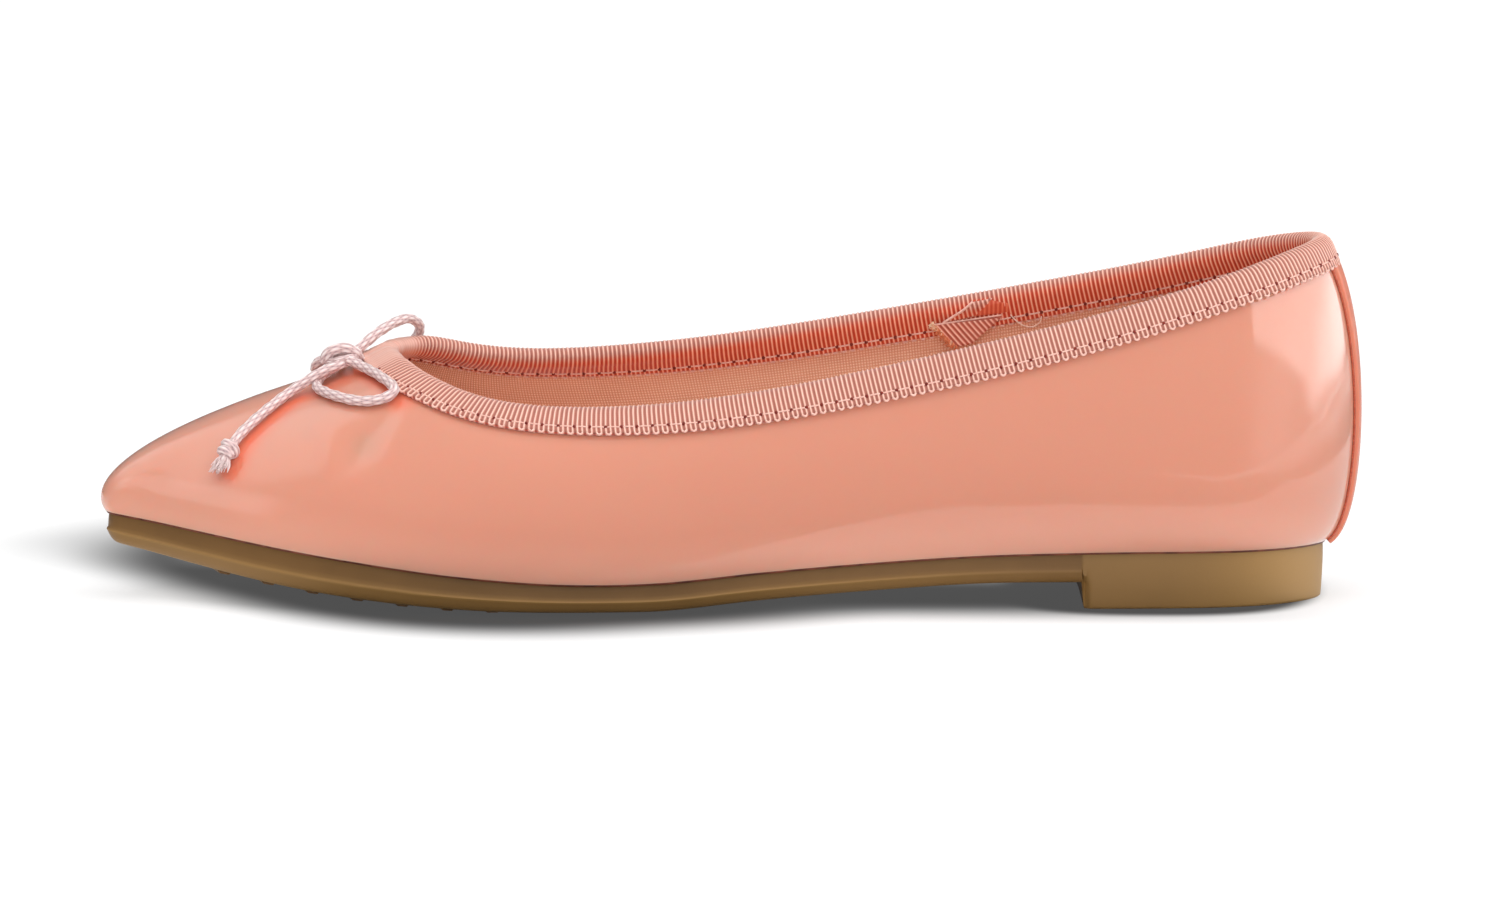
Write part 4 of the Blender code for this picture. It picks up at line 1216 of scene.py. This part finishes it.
sole = {
    "edgeClear": 0.4,
    "breastX": alongX(0.796),
    # how far down as a share of the depth, inset in front, at the waist and on the heel, and paleness, which
    # is painted light
    "profile": [
        (0.00, 1.3, 1.3, 1.3, 0.0), (0.00, 0.9, 0.9, 0.9, 0.0), (0.10, 0.75, 0.8, 0.85, 0.0),
        (0.25, 0.65, 0.75, 0.85, 0.0), (0.40, 0.6, 0.7, 0.9, 0.05), (0.52, 0.55, 0.7, 0.95, 0.15),
        (0.56, 0.35, 0.65, 0.98, 0.35), (0.60, 0.25, 0.62, 1.0, 0.48), (0.64, 0.35, 0.65, 1.02, 0.4),
        (0.67, 0.45, 0.7, 1.05, 0.32), (0.78, 0.8, 0.85, 1.12, 0.32), (0.88, 1.2, 1.05, 1.2, 0.32),
        (0.95, 1.65, 1.3, 1.28, 0.32), (0.985, 2.05, 1.55, 1.33, 0.45), (1.0, 2.5, 2.0, 1.5, 0.1),
    ],
    "bars": 10, "firstBarX": -103.8, "barPitch": 9.2, "barWidth": 4.6, "barDepth": 0.8, "barMargin": 6.5,
    # across a tread bar: along its width, then how far it stands below the sole
    "barSection": [
        (-0.5, 0.0), (-0.46, 0.55), (-0.38, 0.9), (-0.3, 1.0), (0.3, 1.0), (0.38, 0.9), (0.46, 0.55),
        (0.5, 0.0), (0.5, -0.7), (-0.5, -0.7), (-0.5, 0.0),
    ],
}


def makeGumRubber():
    # moulded gum rubber: olive brown, satin, faintly mottled, with painted light making it paler on its rib,
    # the band below it and the heel's back
    material, tree, shader = newMaterial("gum rubber", Roughness=0.5)
    shader.inputs["Specular IOR Level"].default_value = 0.3
    place = addNode(tree, "ShaderNodeTexCoord")
    cloud = addNode(
        tree, "ShaderNodeTexNoise", {"Vector": place.outputs["Object"], "Scale": 60.0, "Detail": 3.0})
    body = addNode(tree, "ShaderNodeValToRGB", {"Fac": cloud.outputs["Fac"]}, [
        (0.3, "#6C4C27"), (0.7, "#77552D")])
    crown = addNode(tree, "ShaderNodeAttribute", attribute_name="crown")
    tint = addNode(tree, "ShaderNodeMix", {
        0: crown.outputs["Fac"], 6: body.outputs["Color"], 7: linearColour("#B48C52")}, data_type="RGBA")
    tree.links.new(tint.outputs[2], shader.inputs["Base Color"])
    grain = addNode(
        tree, "ShaderNodeTexNoise", {"Vector": place.outputs["Object"], "Scale": 1600.0, "Detail": 2.0})
    bump = addNode(
        tree, "ShaderNodeBump", {"Height": grain.outputs["Fac"], "Strength": 0.25, "Distance": 0.00006})
    tree.links.new(bump.outputs["Normal"], shader.inputs["Normal"])
    return material


gumRubber = makeGumRubber()


def soleBottom(x):
    front = np.maximum(sole["edgeClear"], alongBed(x, 1) - alongBed(x, 2))
    return front * (1 - smoothStep((x - sole["breastX"] + 0.3) / 0.6))


def makeSole():
    half = np.linspace(0, sections, 300)
    xs = planCurve(half)[:, 0]
    breast = float(np.interp(sole["breastX"], xs, half))
    half = np.unique(np.concatenate([half, np.linspace(breast - 0.12, breast + 0.12, 41)]))
    ring = np.concatenate([half, turn - half[::-1][1:]])
    x = planCurve(ring)[:, 0]
    heel = smoothStep((x - sole["breastX"] + 0.3) / 0.6)
    waist = smoothStep((x - 20) / 50)
    corner = 1.3 * np.exp(-((x - sole["breastX"] - 0.3) / 0.9) ** 2) * heel
    front = 1 - waist
    paintedPaleHeel = 0.3 + 0.5 * smoothStep((x - 88) / 38)    # painted light: the heel's back is painted paler
    columns, crowns = [], []
    for level, inFront, atWaist, onHeel, paintedPale in sole["profile"]:
        inset = (inFront * front + atWaist * waist) * (1 - heel) + onHeel * heel + corner * (level > 0.5)
        spot = feather(ring, inset)
        top = alongBed(x, 1)
        low = soleBottom(spot[:, 0])
        spot[:, 2] = top + (low - top) * level
        columns.append(spot)
        crowns.append(paintedPale * (1 - 0.6 * waist) * (1 - heel) + paintedPaleHeel * heel)
    points = np.stack(columns, axis=1)
    bm = bmesh.new()
    gridInto(bm, points, crown=np.stack(crowns, axis=1))
    # the underside and the top, strips from the outer to the inner side
    for column in (points[:, -1], points[:, 0]):
        outer, inner = column[:len(half)], column[::-1][:len(half)]
        share = np.linspace(0, 1, 15)[None, :, None]
        sheet = outer[:, None, :] * (1 - share) + inner[:, None, :] * share
        gridInto(bm, sheet, crown=np.zeros(sheet.shape[:2]))
    piece = finishPiece(bm, "unitSole", gumRubber, weld=0.004, sharp=40)
    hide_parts("outsole")


def makeTreadBars():
    # low bars across the forepart, a little bowed towards the toe
    half = np.linspace(0, sections, 300)
    xs = planCurve(half)[:, 0]
    bars = bmesh.new()
    for index in range(sole["bars"]):
        x = sole["firstBarX"] + index * sole["barPitch"]
        station = float(np.interp(x, xs, half))
        y0 = feather(np.array([station]), np.array([sole["barMargin"]]))[0, 1]
        y1 = feather(np.array([turn - station]), np.array([sole["barMargin"]]))[0, 1]
        rows = []
        for share in np.linspace(0, 1, 19):
            size = min(1.0, 4 * min(share, 1 - share) + 0.6)
            row = []
            for run, drop in sole["barSection"]:
                here = x - 2.5 * math.sin(math.pi * share) + run * sole["barWidth"] * size
                base = float(soleBottom(np.array(here)))
                row.append((here, y0 + (y1 - y0) * share, max(0.0, base - drop * sole["barDepth"])))
            rows.append(row)
        gridInto(bars, np.array(rows), crown=np.zeros((len(rows), len(rows[0]))))
    bmesh.ops.remove_doubles(bars, verts=bars.verts, dist=0.000002)
    bmesh.ops.holes_fill(bars, edges=[edge for edge in bars.edges if edge.is_boundary], sides=0)
    finishPiece(bars, "treadBars", gumRubber, sharp=40)


makeSole()
makeTreadBars()
print("sole")


# the footbed inside

footbed = {"thickness": 2.2, "lift": 2.1, "clear": 2.2, "edge": 0.9}


def makeFootbed():
    half = np.linspace(0, sections, 200)
    across = np.concatenate([[0, 0.004, 0.012, 0.03], np.linspace(0.06, 0.94, 27), [0.97, 0.988, 0.996, 1]])
    outer = feather(half, np.full(len(half), footbed["clear"]))
    inner = feather(turn - half, np.full(len(half), footbed["clear"]))
    share = across[None, :, None]
    sheet = outer[:, None, :] * (1 - share) + inner[:, None, :] * share
    width = np.linalg.norm(inner - outer, axis=1)[:, None]
    fromEdge = np.minimum(across, 1 - across)[None, :] * width
    rounding = footbed["thickness"] * np.sqrt(1 - (1 - np.clip(fromEdge / footbed["edge"], 0, 1)) ** 2)
    top, bottom = sheet.copy(), sheet.copy()
    top[..., 2] = alongBed(sheet[..., 0], 1) + footbed["lift"] + rounding
    # a heel pad stands a little higher, inside a pressed line
    pad = smoothStep((sheet[..., 0] - 66) / 2.0) * smoothStep((fromEdge - 5.0) / 1.5)
    top[..., 2] += 0.35 * pad
    bottom[..., 2] = alongBed(sheet[..., 0], 1) + footbed["lift"]
    uvs = np.stack([sheet[..., 0], sheet[..., 1]], axis=-1)
    bm = bmesh.new()
    gridInto(bm, top, uvs)
    gridInto(bm, bottom, uvs)
    piece = finishPiece(bm, "footbed", liningCanvas, weld=0.004)
    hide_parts("insole")


makeFootbed()
print("footbed")
